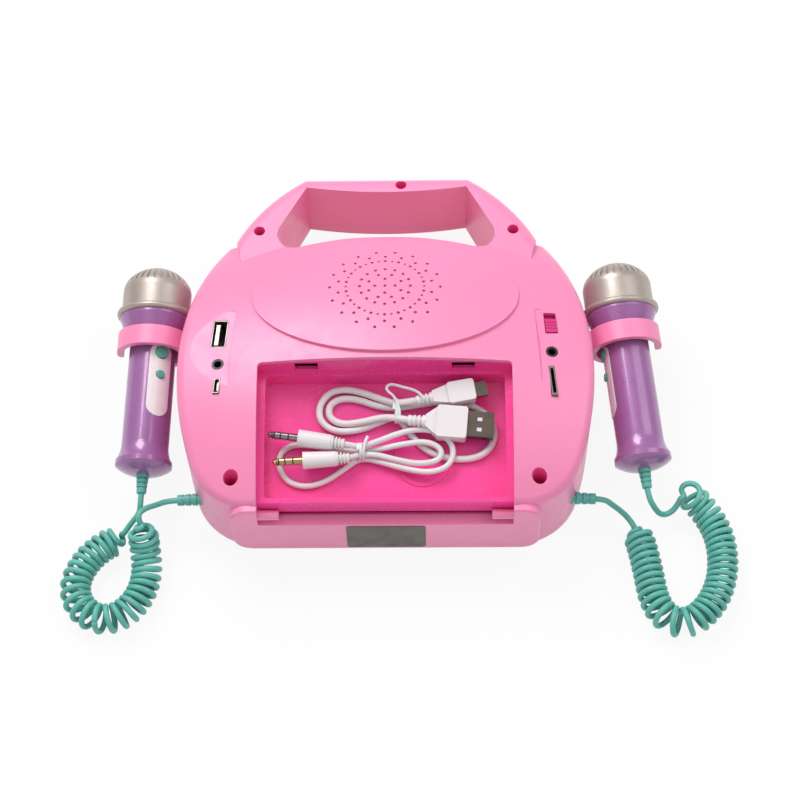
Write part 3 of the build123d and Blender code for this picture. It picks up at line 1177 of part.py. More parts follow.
def audio_hank(clear_of):
    """Hank of the audio cable: tied loops on both sides of the tie, the right ones over the USB cable."""
    low = CABLE_REST
    left = hank_slab(((-37.5, 18.6, 10.4), (AUDIO_TIE[0] - 1.0, AUDIO_TIE[1], 3.4)), low, low + AUDIO_WIRE + 0.3)
    right_low = low + USB_WIRE + 0.2
    right = hank_slab(((19.6, 23.4, 10.2), (AUDIO_TIE[0] + 1.0, AUDIO_TIE[1], 3.4)),
                      right_low, right_low + 2 * AUDIO_WIRE - 1.0)
    neck = Pos(AUDIO_TIE[0], AUDIO_TIE[1], low + 0.3) * extrude(Circle(2.8), right_low + 4.0 - low - 0.3)
    return (on_floor(0, 0) * (left + right + neck)) - clear_of


def cable_ties():
    """Flat tie round each of the two hanks."""
    hoops = []
    for (u, v), width, height in ((USB_TIE, 7.6, 5.0), (AUDIO_TIE, 7.5, 8.2)):
        wall = 2 * TIE_THICKNESS
        section = Plane.YZ * (Rectangle(width + wall, height + wall) - Rectangle(width, height))
        hoops.append(on_floor(u, v, height / 2 + CABLE_REST) * extrude(section, TIE_WIDTH / 2, both=True))
    return Compound([hoop.solid() for hoop in hoops])


# ================================================================ build

def main():
    os.makedirs("parts", exist_ok=True)
    whole = whole_housing()
    body_form = rounded_body() + handle_solid()
    nodes = {
        "rear_shell": rear_shell(whole),
        "front_shell": front_shell(whole),
        "storage_bay": storage_bay(),
        "housing_screws": housing_screws(),
        "speaker_grille": speaker_grille(),
        "light_ring": light_ring(),
        "speaker_frame": speaker_frame(),
        "speaker_cone": speaker_cone(),
        "control_fascia": control_fascia(),
        "main_board": main_board(),
        "cell": cell(),
        "port_board_left": port_board(-1),
        "port_board_right": port_board(1),
        "usb_a_socket": usb_a_socket(),
        "jack_socket_left": jack_socket(-1, JACK_LEFT_Y),
        "micro_usb_socket": micro_usb_socket(),
        "switch_body": switch_body(),
        "switch_knob": switch_knob(),
        "jack_socket_right": jack_socket(1, JACK_RIGHT_Y),
        "card_slot": card_slot(),
        "clip_left": mic_clip(-1, body_form),
        "clip_right": mic_clip(1, body_form),
        "gland_left": gland(-1, body_form),
        "gland_right": gland(1, body_form),
    }
    for index, x in enumerate(key_places()):
        nodes[f"key_{index + 1}"] = key(x)
    nodes.update(microphone(-1))
    nodes.update(microphone(1))
    nodes.update(cords())
    plug_a = usb_a_plug()
    nodes["usb_hank"] = usb_hank()
    nodes["usb_a_plug"] = plug_a
    nodes["micro_usb_plug"] = micro_usb_plug()
    nodes["audio_hank"] = audio_hank(plug_a)
    nodes["audio_plug_1"] = audio_plug(0)
    nodes["audio_plug_2"] = audio_plug(1)
    nodes["cable_ties"] = cable_ties()
    for name, shape in nodes.items():
        save(name, shape)
    print(len(nodes), "nodes")


main()
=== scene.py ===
"""Finishes, cords, stored cables, studio and camera of a portable karaoke player with two microphones."""
from __future__ import annotations

import logging
import math
from collections.abc import Iterable, Sequence
from dataclasses import dataclass, field
from enum import Enum, IntEnum

import bpy
from mathutils import Matrix, Vector

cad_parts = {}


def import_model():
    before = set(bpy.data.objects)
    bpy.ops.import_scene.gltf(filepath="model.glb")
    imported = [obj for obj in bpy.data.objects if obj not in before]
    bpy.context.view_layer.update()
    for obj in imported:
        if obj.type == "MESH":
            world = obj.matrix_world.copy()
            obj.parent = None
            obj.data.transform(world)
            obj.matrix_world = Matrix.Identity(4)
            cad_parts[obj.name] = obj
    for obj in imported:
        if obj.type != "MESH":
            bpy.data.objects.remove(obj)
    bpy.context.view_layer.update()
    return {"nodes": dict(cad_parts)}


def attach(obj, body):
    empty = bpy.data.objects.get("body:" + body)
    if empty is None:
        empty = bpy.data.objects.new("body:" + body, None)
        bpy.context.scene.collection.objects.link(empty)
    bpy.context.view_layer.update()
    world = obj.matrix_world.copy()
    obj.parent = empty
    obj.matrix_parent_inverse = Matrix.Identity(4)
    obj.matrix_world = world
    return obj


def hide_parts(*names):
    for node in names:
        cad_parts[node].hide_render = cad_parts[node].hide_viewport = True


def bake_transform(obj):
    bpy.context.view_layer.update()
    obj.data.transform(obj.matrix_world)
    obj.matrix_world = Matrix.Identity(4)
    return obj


logging.basicConfig(level=logging.INFO, format="%(message)s")
LOG = logging.getLogger("player")

Point = tuple[float, float, float]
Colour = tuple[float, float, float, float]
Socket = bpy.types.NodeSocket
Piece = bpy.types.Object
Material = bpy.types.Material

ORIGIN = Vector((0.0019, 0.0910, 0.0))  # of the frame, in the coordinates that the routes are given in
FLOOR_ORIGIN = Vector((0.0, 0.00755, 0.038))  # foot of the storage bay's floor
FLOOR_SLOPE = math.radians(9.0)


def placed(point: Sequence[float]) -> Vector:
    """Return a point of the housing's own coordinates, in metres, in the frame."""
    return Vector(point) - ORIGIN


def level(height: int, *places: tuple[int, int]) -> list[tuple[int, int, int]]:
    """Return places across and up, all at one height."""
    return [(*place, height) for place in places]


def metres(*places: tuple[int, ...]) -> tuple[tuple[float, ...], ...]:
    """Return places given in tenths of a millimetre, in metres."""
    return tuple(tuple(number / 10000 for number in place) for place in places)


def on_bay_floor(u: float, v: float, height: float) -> Vector:
    """Return the place that lies u across, v up the slope and height above the floor of the bay.

    Args:
        u: Metres across, from the middle.
        v: Metres up the slope, from its foot.
        height: Metres above the floor, square to it.

    Returns:
        The place in the frame.
    """
    rise, run = math.sin(FLOOR_SLOPE), math.cos(FLOOR_SLOPE)
    return placed(FLOOR_ORIGIN + Vector((u, v * run - height * rise, v * rise + height * run)))


def srgb(red: int, green: int, blue: int) -> Colour:
    """Return a colour given in screen values from 0 to 255 as linear light."""
    def linear(value: int) -> float:
        share = value / 255.0
        return share / 12.92 if share <= 0.04045 else ((share + 0.055) / 1.055) ** 2.4
    return (linear(red), linear(green), linear(blue), 1.0)


def shifted(colour: Colour, factor: float) -> Colour:
    """Return a colour made lighter or darker by a factor."""
    return tuple(min(1.0, c * factor) for c in colour[:3]) + (1.0,)


def paled(colour: Colour, share: float) -> Colour:
    """Return a colour brought towards white by a share of the way."""
    return tuple(c + (1.0 - c) * share for c in colour[:3]) + (1.0,)


# ---------------------------------------------------------------- finishes


class NodeBench:
    """Lays out the nodes of one material."""

    def __init__(self, name: str) -> None:
        """Start an empty material of this name with an output."""
        self.material = bpy.data.materials.new(name)
        self.material.use_nodes = True
        self.tree = self.material.node_tree
        self.tree.nodes.clear()
        self.output = self.tree.nodes.new("ShaderNodeOutputMaterial")

    def node(self, kind: str, **settings: object) -> bpy.types.Node:
        """Add a node and set its properties and inputs.

        Args:
            kind: Blender's name of the node type.
            settings: Properties by name; a name that starts with "in_" sets the input of that name.

        Returns:
            The node.
        """
        made = self.tree.nodes.new(kind)
        for key, value in settings.items():
            if key.startswith("in_"):
                made.inputs[key[3:].replace("_", " ").title()].default_value = value
            else:
                setattr(made, key, value)
        return made

    def link(self, source: Socket, target: Socket) -> None:
        """Join one socket to another."""
        self.tree.links.new(source, target)

    def coordinates(self) -> Socket:
        """Return the object coordinates, in metres."""
        return self.node("ShaderNodeTexCoord").outputs["Object"]

    def noise(self, scale: float, detail: float = 2.0, roughness: float = 0.5) -> Socket:
        """Add a noise on object coordinates.

        Args:
            scale: Waves per metre.
            detail: Octaves.
            roughness: Strength of the finer octaves.

        Returns:
            Its value socket.
        """
        made = self.node("ShaderNodeTexNoise", in_scale=scale, in_detail=detail, in_roughness=roughness)
        self.link(self.coordinates(), made.inputs["Vector"])
        return made.outputs["Fac"]

    def spread(self, value: Socket, low: float, high: float, start: float = 0.3, end: float = 0.7) -> Socket:
        """Map a value between start and end onto low to high.

        Args:
            value: The socket to map.
            low: Result at start.
            high: Result at end.
            start: Value that gives low.
            end: Value that gives high.

        Returns:
            The mapped socket.
        """
        made = self.node("ShaderNodeMapRange")
        self.link(value, made.inputs["Value"])
        for name, number in (("From Min", start), ("From Max", end), ("To Min", low), ("To Max", high)):
            made.inputs[name].default_value = number
        return made.outputs["Result"]

    def varied(self, value: Socket, roughness: float) -> Socket:
        """Vary a roughness from a little smoother to a little rougher."""
        return self.spread(value, roughness * 0.85, roughness * 1.2)

    def mixed(self, share: Socket, first: Colour | Socket, second: Colour | Socket) -> Socket:
        """Mix two colours.

        Args:
            share: Share of the second colour.
            first: Colour or socket at 0.
            second: Colour or socket at 1.

        Returns:
            The mixed colour socket.
        """
        made = self.node("ShaderNodeMix", data_type="RGBA")
        self.link(share, made.inputs[0])
        for index, side in ((6, first), (7, second)):
            if isinstance(side, tuple):
                made.inputs[index].default_value = side
            else:
                self.link(side, made.inputs[index])
        return made.outputs[2]

    def mottled(self, share: Socket, colour: Colour, low: float, high: float) -> Socket:
        """Vary a colour between two factors of its lightness.

        Args:
            share: Share of the second factor.
            colour: The colour.
            low: Factor at 0.
            high: Factor at 1.

        Returns:
            The mottled colour socket.
        """
        return self.mixed(share, shifted(colour, low), shifted(colour, high))

    def combined(self, operation: str, first: Socket, second: Socket | float, clamp: bool = False) -> Socket:
        """Add or multiply two values.

        Args:
            operation: Blender's name of the operation.
            first: The first value's socket.
            second: The second value or its socket.
            clamp: Whether the result stays within 0 and 1.

        Returns:
            The result's socket.
        """
        made = self.node("ShaderNodeMath", operation=operation, use_clamp=clamp)
        self.link(first, made.inputs[0])
        if isinstance(second, Socket):
            self.link(second, made.inputs[1])
        else:
            made.inputs[1].default_value = second
        return made.outputs["Value"]

    def worn_edges(self, radius: float) -> tuple[Socket, Socket]:
        """Round the edges in shading and find where they are.

        Args:
            radius: Radius of the rounding in metres.

        Returns:
            The rounded normal and a share that is 1 on an edge.
        """
        rounded = self.node("ShaderNodeBevel", samples=4, in_radius=radius)
        plain = self.node("ShaderNodeNewGeometry")
        product = self.node("ShaderNodeVectorMath", operation="DOT_PRODUCT")
        self.link(rounded.outputs["Normal"], product.inputs[0])
        self.link(plain.outputs["Normal"], product.inputs[1])
        return rounded.outputs["Normal"], self.spread(product.outputs["Value"], 1.0, 0.0, 0.80, 0.995)

    def bump(self, height: Socket, strength: float, distance: float,
             normal: Socket | None = None) -> Socket:
        """Add a bump.

        Args:
            height: Height from 0 to 1.
            strength: Share of the bump that shows.
            distance: Height in metres at 1.
            normal: Normal to start from.

        Returns:
            The bumped normal.
        """
        made = self.node("ShaderNodeBump", in_strength=strength, in_distance=distance)
        self.link(height, made.inputs["Height"])
        if normal is not None:
            self.link(normal, made.inputs["Normal"])
        return made.outputs["Normal"]

    def surface(self, **inputs: object) -> Material:
        """Finish the material with a principled surface.

        Args:
            inputs: Values or sockets by the input's name in lower case, with _ for a space.

        Returns:
            The material.
        """
        shader = self.node("ShaderNodeBsdfPrincipled")
        names = {socket.name.lower().replace(" ", "_"): socket for socket in shader.inputs}
        for key, value in inputs.items():
            if isinstance(value, Socket):
                self.link(value, names[key])
            else:
                names[key].default_value = value
        self.link(shader.outputs["BSDF"], self.output.inputs["Surface"])
        return self.material


class Grain(Enum):
    """Surface that a mould or a tool leaves."""

    POLISHED = (900.0, 0.00002)
    SATIN = (2600.0, 0.00003)
    SPARK = (5200.0, 0.00006)

    @property
    def scale(self) -> float:
        """Return the grains per metre."""
        return self.value[0]

    @property
    def height(self) -> float:
        """Return the height of the grain in metres."""
        return self.value[1]


@dataclass(frozen=True)
class MouldedPlastic:
    """Injection moulded plastic with flow marks, mould grain and paler rubbed edges."""

    name: str
    colour: Colour
    roughness: float = 0.35
    grain: Grain = Grain.SATIN
    tint: float = 0.06
    edge: float = 0.35
    edge_radius: float = 0.0004
    coat: float = 0.0
    coat_roughness: float = 0.12
    subsurface: float = 0.0

    def material(self) -> Material:
        """Build the material."""
        bench = NodeBench(self.name)
        flow = bench.spread(bench.noise(14.0, 3.0), 0.0, 1.0)
        dust = bench.spread(bench.noise(150.0, 4.0, 0.62), 0.0, 1.0, 0.42, 0.74)
        normal, edges = bench.worn_edges(self.edge_radius)
        body = bench.mottled(flow, self.colour, 1.0 - self.tint, 1.0 + self.tint)
        wear = bench.spread(bench.noise(90.0), 0.35 * self.edge, self.edge)
        colour = bench.mixed(bench.combined("MULTIPLY", edges, wear), body, paled(self.colour, 0.35))
        rough = bench.spread(dust, self.roughness * 0.86, self.roughness * 1.22, 0.0, 1.0)
        bumped = bench.bump(bench.noise(self.grain.scale, 2.0), 0.35, self.grain.height, normal)
        return bench.surface(base_color=colour, roughness=rough, normal=bumped, coat_weight=self.coat,
                             coat_roughness=self.coat_roughness, subsurface_weight=self.subsurface,
                             subsurface_radius=(0.004, 0.0012, 0.0018), subsurface_scale=0.5)


@dataclass(frozen=True)
class FrostedPlastic:
    """Milky plastic that lets light in, for rings and lenses."""

    name: str
    colour: Colour

    def material(self) -> Material:
        """Build the material."""
        bench = NodeBench(self.name)
        normal, edges = bench.worn_edges(0.0005)
        cloud = bench.spread(bench.noise(35.0, 3.0), 0.0, 1.0)
        tone = bench.mottled(cloud, self.colour, 0.93, 1.04)
        colour = bench.mixed(edges, tone, (0.95, 0.95, 0.95, 1.0))
        bumped = bench.bump(bench.noise(1800.0), 0.3, 0.00004, normal)
        return bench.surface(base_color=colour, roughness=bench.spread(bench.noise(220.0, 3.0), 0.42, 0.56),
                             normal=bumped, transmission_weight=0.35, ior=1.49)


@dataclass(frozen=True)
class Lacquer:
    """Metallic paint: flakes under a clear coat, worn paler on the edges."""

    name: str
    colour: Colour
    roughness: float = 0.38
    metallic: float = 0.35
    flake: float = 0.12
    coat: float = 0.2

    def material(self) -> Material:
        """Build the material."""
        bench = NodeBench(self.name)
        cells = bench.node("ShaderNodeTexVoronoi", in_scale=3800.0)
        bench.link(bench.coordinates(), cells.inputs["Vector"])
        glint = bench.spread(cells.outputs["Distance"], 1.0, 0.0, 0.0, 0.5)
        cloud = bench.spread(bench.noise(30.0, 3.0), 0.0, 1.0)
        base = bench.mottled(cloud, self.colour, 0.94, 1.05)
        flaked = bench.mixed(glint, base, shifted(self.colour, 1.0 + self.flake))
        normal, edges = bench.worn_edges(0.0003)
        worn = bench.combined("MULTIPLY", edges, bench.spread(bench.noise(260.0, 3.0), 0.05, 0.5))
        bumped = bench.bump(bench.noise(1500.0, 2.0), 0.25, 0.00003, normal)
        return bench.surface(base_color=bench.mixed(worn, flaked, paled(self.colour, 0.45)),
                             roughness=bench.varied(bench.noise(160.0, 4.0), self.roughness),
                             metallic=self.metallic, normal=bumped, coat_weight=self.coat,
                             coat_roughness=0.08)


@dataclass(frozen=True)
class PlatedSteel:
    """Plated or rolled metal with drawing lines and dull spots."""

    name: str
    colour: Colour
    roughness: float = 0.28
    stretch: Point = (60.0, 2400.0, 2400.0)

    def material(self) -> Material:
        """Build the material."""
        bench = NodeBench(self.name)
        mapping = bench.node("ShaderNodeMapping")
        mapping.inputs["Scale"].default_value = self.stretch
        bench.link(bench.coordinates(), mapping.inputs["Vector"])
        lines = bench.node("ShaderNodeTexNoise", in_scale=1.0, in_detail=3.0)
        bench.link(mapping.outputs["Vector"], lines.inputs["Vector"])
        normal, edges = bench.worn_edges(0.0002)
        dull = bench.spread(bench.noise(140.0, 4.0), 0.0, 1.0)
        tone = bench.mottled(dull, self.colour, 0.88, 1.06)
        bumped = bench.bump(lines.outputs["Fac"], 0.3, 0.00002, normal)
        return bench.surface(base_color=bench.mixed(edges, tone, shifted(self.colour, 1.25)),
                             roughness=bench.spread(dull, self.roughness * 1.3, self.roughness * 0.8, 0.0,
                                                    1.0),
                             metallic=1.0, normal=bumped)


@dataclass(frozen=True)
class CordJacket:
    """Soft jacket of a cord, slightly glossy, with faint moulding ripples and handling marks."""

    name: str
    colour: Colour
    roughness: float = 0.42

    def material(self) -> Material:
        """Build the material."""
        bench = NodeBench(self.name)
        marks = bench.spread(bench.noise(120.0, 3.0), 0.0, 1.0)
        tone = bench.mottled(marks, self.colour, 0.93, 1.06)
        bumped = bench.bump(bench.noise(1400.0, 2.0), 0.3, 0.00003)
        return bench.surface(base_color=tone,
                             roughness=bench.varied(bench.noise(300.0, 3.0), self.roughness),
                             normal=bumped, subsurface_weight=0.08, subsurface_radius=(0.001, 0.001, 0.001),
                             subsurface_scale=0.5)


@dataclass(frozen=True)
class PressedPaper:
    """Felted paper pulp of a loudspeaker cone."""

    name: str
    colour: Colour

    def material(self) -> Material:
        """Build the material."""
        bench = NodeBench(self.name)
        fibres = bench.spread(bench.noise(1600.0, 5.0, 0.7), 0.0, 1.0)
        tone = bench.mottled(fibres, self.colour, 0.7, 1.4)
        bumped = bench.bump(fibres, 0.6, 0.0001)
        return bench.surface(base_color=tone, roughness=bench.spread(fibres, 0.8, 0.95, 0.0, 1.0),
                             normal=bumped, sheen_weight=0.2)


@dataclass(frozen=True)
class CircuitBoard:
    """Solder-masked board with copper traces under the mask."""

    name: str
    colour: Colour

    def material(self) -> Material:
        """Build the material."""
        bench = NodeBench(self.name)
        traces = bench.node("ShaderNodeTexBrick", offset=0.35, in_scale=90.0)
        traces.inputs["Mortar Size"].default_value = 0.03
        bench.link(bench.coordinates(), traces.inputs["Vector"])
        weave = bench.spread(bench.noise(2200.0, 2.0), 0.0, 1.0)
        mask = bench.mottled(weave, self.colour, 0.85, 1.15)
        colour = bench.mixed(traces.outputs["Fac"], mask, shifted(self.colour, 1.8))
        bumped = bench.bump(traces.outputs["Fac"], 0.4, 0.00004)
        return bench.surface(base_color=colour, roughness=bench.spread(weave, 0.28, 0.42, 0.0, 1.0),
                             normal=bumped)


@dataclass
class Finishes:
    """Every finish of the player, built once."""

    made: dict[str, Material] = field(default_factory=dict)

    @staticmethod
    def catalogue() -> Iterable[object]:
        """Return the finishes in the order in which they are built."""
        return (
            MouldedPlastic("housing_pink", srgb(243, 138, 182), 0.4, Grain.SATIN, 0.03, 0.3, 0.0005,
                           coat=0.25, coat_roughness=0.4, subsurface=0.15),
            # painted shade: a deeper pink than the housing, for the walls of the screw bores and of the
            # switch window
            MouldedPlastic("bore_magenta", srgb(252, 100, 176), 0.5, Grain.SATIN, 0.03, 0.1, 0.0003),
            MouldedPlastic("bay_magenta", srgb(246, 70, 156), 0.26, Grain.POLISHED, 0.05, 0.08, 0.0004,
                           coat=0.3),
            MouldedPlastic("fastener_magenta", srgb(216, 48, 130), 0.34, Grain.POLISHED, 0.06, 0.5, 0.0002),
            MouldedPlastic("inlay_white", srgb(234, 230, 228), 0.3, Grain.POLISHED, 0.02, 0.2, 0.0003),
            MouldedPlastic("socket_black", srgb(38, 38, 40), 0.45, Grain.SPARK, 0.15, 0.3, 0.0002),
            MouldedPlastic("button_teal", srgb(86, 176, 162), 0.32, Grain.POLISHED, 0.05, 0.4, 0.0003),
            MouldedPlastic("cell_sleeve", srgb(70, 120, 190), 0.3, Grain.POLISHED, 0.06, 0.2, 0.0003),
            MouldedPlastic("plug_white", srgb(226, 221, 222), 0.4, Grain.SATIN, 0.02, 0.2, 0.0003),
            MouldedPlastic("plate_grey", srgb(88, 82, 74), 0.5, Grain.SATIN, 0.08, 0.5, 0.0002),
            FrostedPlastic("ring_frosted", srgb(240, 236, 238)),
            Lacquer("barrel_purple", srgb(156, 100, 158), 0.3, 0.12, 0.2, coat=0.7),
            Lacquer("grille_champagne", srgb(180, 168, 160), 0.42, 0.6, 0.1),
            PlatedSteel("connector_steel", srgb(112, 102, 94), 0.3),
            PlatedSteel("socket_steel", srgb(150, 144, 140), 0.4),
            PlatedSteel("pin_steel", srgb(142, 130, 134), 0.24, (400.0, 2400.0, 2400.0)),
            PlatedSteel("pin_brass", srgb(190, 166, 124), 0.24, (400.0, 2400.0, 2400.0)),
            PlatedSteel("screw_zinc", srgb(180, 180, 184), 0.34, (800.0, 800.0, 800.0)),
            PlatedSteel("grille_steel", srgb(150, 150, 156), 0.4, (900.0, 900.0, 900.0)),
            CordJacket("cord_teal", srgb(96, 180, 168)),
            CordJacket("cable_white", srgb(222, 216, 218), 0.38),
            CordJacket("tie_white", srgb(225, 228, 230), 0.3),
            PressedPaper("cone_paper", srgb(70, 68, 72)),
            CircuitBoard("board_green", srgb(28, 110, 70)),
        )

    def build(self) -> None:
        """Make all the materials."""
        for finish in self.catalogue():
            self.made[finish.name] = finish.material()
        LOG.info("%d finishes", len(self.made))

    def dress(self, piece: Piece, *names: str) -> None:
        """Give a piece its finishes, one for each of its material slots or one for all.

        Args:
            piece: The object.
            names: Names of the finishes.
        """
        slots = max(1, len(piece.material_slots))
        if not piece.material_slots:
            piece.data.materials.append(self.made[names[0]])
        for index in range(slots):
            piece.material_slots[index].material = self.made[names[min(index, len(names) - 1)]]


# ---------------------------------------------------------------- solids of the frame


@dataclass
class HousingFinish:
    """Finish of every solid that the frame brings."""

    finishes: Finishes
    nodes: dict[str, Piece]
    bores: tuple[Point, ...] = ((-0.0605, 0.1477, 0.0), (0.0605, 0.1477, 0.0), (-0.0690, 0.0150, 0.0),
                                (0.0690, 0.0150, 0.0), (0.0070, 0.1752, 0.0))
    bore_radius: float = 0.0036
    bore_floor: float = 0.021
    window_reach: float = 0.0066
    steepest: float = 0.5  # upright part of a face's normal, below which the face counts as a wall
    groups: dict[str, tuple[str, ...]] = field(default_factory=lambda: {
        "housing_pink": ("rear_shell", "front_shell", "clip_left", "clip_right"),
        "bay_magenta": ("storage_bay",),
        "fastener_magenta": ("switch_knob", "switch_body"),
        "screw_zinc": ("housing_screws",),
        "grille_steel": ("speaker_grille", "speaker_frame"),
        "ring_frosted": ("light_ring",),
        "cone_paper": ("speaker_cone",),
        "inlay_white": ("control_fascia", "mic_left_panel", "mic_right_panel"),
        "button_teal": ("mic_left_button_large", "mic_left_button_small", "mic_right_button_large",
                        "mic_right_button_small"),
        "board_green": ("main_board", "port_board_left", "port_board_right"),
        "cell_sleeve": ("cell",),
        "socket_steel": ("usb_a_socket", "micro_usb_socket", "card_slot"),
        "socket_black": ("jack_socket_left", "jack_socket_right"),
        "cord_teal": ("gland_left", "gland_right", "mic_left_relief", "mic_right_relief", "cord_left_coil",
                      "cord_left_mic_lead", "cord_left_gland_lead", "cord_right_coil",
                      "cord_right_mic_lead", "cord_right_gland_lead"),
        "barrel_purple": ("mic_left_barrel", "mic_right_barrel"),
        "grille_champagne": ("mic_left_grille", "mic_right_grille", "mic_left_flange", "mic_right_flange"),
        "plug_white": ("usb_a_plug", "micro_usb_plug", "audio_plug_1", "audio_plug_2"),
        "cable_white": ("usb_hank", "audio_hank"),
        "tie_white": ("cable_ties",),
    })

    def build(self) -> None:
        """Dress all the nodes."""
        for finish, names in self.groups.items():
            for name in names:
                self.finishes.dress(self.nodes[name], finish)
        for index in range(1, 6):
            self.finishes.dress(self.nodes[f"key_{index}"], "inlay_white")
        for side in ("left", "right"):
            self.finishes.dress(self.nodes[f"mic_{side}_capsule"], "socket_black")
        self.shade_bore_walls()
        LOG.info("%d solids dressed", len(self.nodes))

    def shade_bore_walls(self) -> None:
        """Give the walls of the screw bores and of the switch window a deeper pink: painted shade in these
        recesses.
        """
        mesh = self.nodes["rear_shell"].data
        mesh.materials.append(self.finishes.made["bore_magenta"])
        mouths = [(placed(place), self.bore_radius) for place in self.bores]
        corners = [vertex.co for vertex in self.nodes["switch_body"].data.vertices]
        mouths.append((sum(corners, Vector()) / len(corners), self.window_reach))
        for polygon in mesh.polygons:
            if polygon.center.z < self.bore_floor or abs(polygon.normal.z) > self.steepest:
                continue
            if any((polygon.center.xy - mouth.xy).length < reach for mouth, reach in mouths):
                # painted shade: the recessed walls take the deeper pink
                polygon.material_index = 1


class PlugPart(IntEnum):
    """Finish of a face of a plug."""

    GRIP = 0
    METAL = 1
    BLACK = 2


@dataclass
class PlugTrim:
    """Metal tip of one plug and its insulating rings, told from the grip by their place along the plug."""

    node: str
    place: Point
    turn: float
    metal_from: float
    metal: str
    rings: tuple[float, ...] = ()
    ring_width: float = 0.0005
    tongue_width: float = 0.0
    window: Point | None = None  # floor of the two catch holes: along, aside and above the axis
    window_reach: tuple[float, float] = (0.0011, 0.0009)
    flush: float = 0.0002  # how far a face's middle may lie above or below the floor that it is counted to

    def local(self, point: Vector) -> Vector:
        """Return a point of the frame as lengths along, across and above the plug's axis."""
        foot = on_bay_floor(*self.place)
        across = (on_bay_floor(1.0, 0.0, 0.0) - on_bay_floor(0.0, 0.0, 0.0)).normalized()
        uphill = (on_bay_floor(0.0, 1.0, 0.0) - on_bay_floor(0.0, 0.0, 0.0)).normalized()
        turn = math.radians(self.turn)
        along = across * math.cos(turn) + uphill * math.sin(turn)
        aside = uphill * math.cos(turn) - across * math.sin(turn)
        way = point - foot
        return Vector((way.dot(along), way.dot(aside), way.dot(along.cross(aside))))

    def part_at(self, place: Vector) -> PlugPart:
        """Return the part that a place of the plug belongs to."""
        if place.x < self.metal_from:
            return PlugPart.GRIP
        if any(abs(place.x - ring) < self.ring_width for ring in self.rings):
            return PlugPart.BLACK
        if self.window is not None:
            along, aside, above = self.window
            inside = (abs(place.x - along) < self.window_reach[0]
                      and abs(abs(place.y) - aside) < self.window_reach[1])
            if inside and abs(place.z - above) < self.flush:
                return PlugPart.GRIP
        on_tongue = abs(place.y) < self.tongue_width / 2 and abs(place.z) < self.flush
        return PlugPart.GRIP if on_tongue else PlugPart.METAL

    def build(self, nodes: dict[str, Piece], finishes: Finishes) -> None:
        """Give every face of the plug its finish.

        Args:
            nodes: The solids by name.
            finishes: The finishes.
        """
        mesh = nodes[self.node].data
        mesh.materials.clear()
        for name in ("plug_white", self.metal, "socket_black"):
            mesh.materials.append(finishes.made[name])
        for polygon in mesh.polygons:
            polygon.material_index = self.part_at(self.local(polygon.center))
        LOG.info("%s trimmed", self.node)


def plug_trims() -> tuple[PlugTrim, ...]:
    """Return the trims of the four stored plugs."""
    rings = (0.0044, 0.0080, 0.0108)
    return (PlugTrim("usb_a_plug", (0.0302, 0.0362, 0.0066), -5.0, 0.00705, "connector_steel",
                     tongue_width=0.011, window=(0.0125, 0.0024, 0.0019)),
            PlugTrim("micro_usb_plug", (0.0346, 0.0504, 0.0079), 10.0, 0.0063, "connector_steel"),
            PlugTrim("audio_plug_1", (-0.0392, 0.0292, 0.0082), 172.0, 0.00005, "pin_steel", rings),
            PlugTrim("audio_plug_2", (-0.0370, 0.0186, 0.0082), 183.0, 0.00005, "pin_brass", rings))


# ---------------------------------------------------------------- cords


def smooth_line(name: str, points: Iterable[Vector], resolution: int = 24) -> Piece:
    """Make an open NURBS curve of order 3 that ends at its first and last point.

    Args:
        name: Name of the object.
        points: Control points in the frame.
        resolution: Steps between two points.

    Returns:
        The curve object.
    """
    places = list(points)
    curve = bpy.data.curves.new(name, "CURVE")
    curve.dimensions = "3D"
    spline = curve.splines.new("NURBS")
    spline.points.add(len(places) - 1)
    for knot, place in zip(spline.points, places):
        knot.co = (*place, 1.0)
    spline.order_u = 3
    spline.use_endpoint_u = True
    spline.resolution_u = resolution
    curve.resolution_u = resolution
    line = bpy.data.objects.new(name, curve)
    bpy.context.scene.collection.objects.link(line)
    return line


def read_line(line: Piece) -> list[Vector]:
    """Return the points along a curve that has no thickness."""
    mesh = bpy.data.meshes.new_from_object(line)
    points = [v.co.copy() for v in mesh.vertices]
    bpy.data.meshes.remove(mesh)
    return points


def resampled(points: Sequence[Vector], step: float) -> list[Vector]:
    """Return points at even steps along a line.

    Args:
        points: The line.
        step: Wished distance in metres.

    Returns:
        Points at even distances, both ends included.
    """
    lengths = [0.0]
    for a, b in zip(points, points[1:]):
        lengths.append(lengths[-1] + (b - a).length)
    count = max(2, round(lengths[-1] / step))
    found, index = [], 0
    for number in range(count + 1):
        want = lengths[-1] * number / count
        while index < len(points) - 2 and lengths[index + 1] < want:
            index += 1
        span = lengths[index + 1] - lengths[index]
        share = 0.0 if span <= 0 else (want - lengths[index]) / span
        found.append(points[index].lerp(points[index + 1], min(1.0, share)))
    return found


def line_length(points: Sequence[Vector]) -> float:
    """Return the length of a line of points."""
    return sum((b - a).length for a, b in zip(points, points[1:]))


def carried_frames(points: Sequence[Vector], start: Vector) -> list[tuple[Vector, Vector]]:
    """Carry a pair of cross directions along a line without twist.

    Args:
        points: The line.
        start: Direction that the first cross direction comes closest to.

    Returns:
        Two unit vectors square to the line at each point.
    """
    frames: list[tuple[Vector, Vector]] = []
    side = start
    for index in range(len(points)):
        before, after = points[max(0, index - 1)], points[min(len(points) - 1, index + 1)]
        along = (after - before).normalized()
        side = (side - along * side.dot(along)).normalized()
        frames.append((side, along.cross(side)))
    return frames


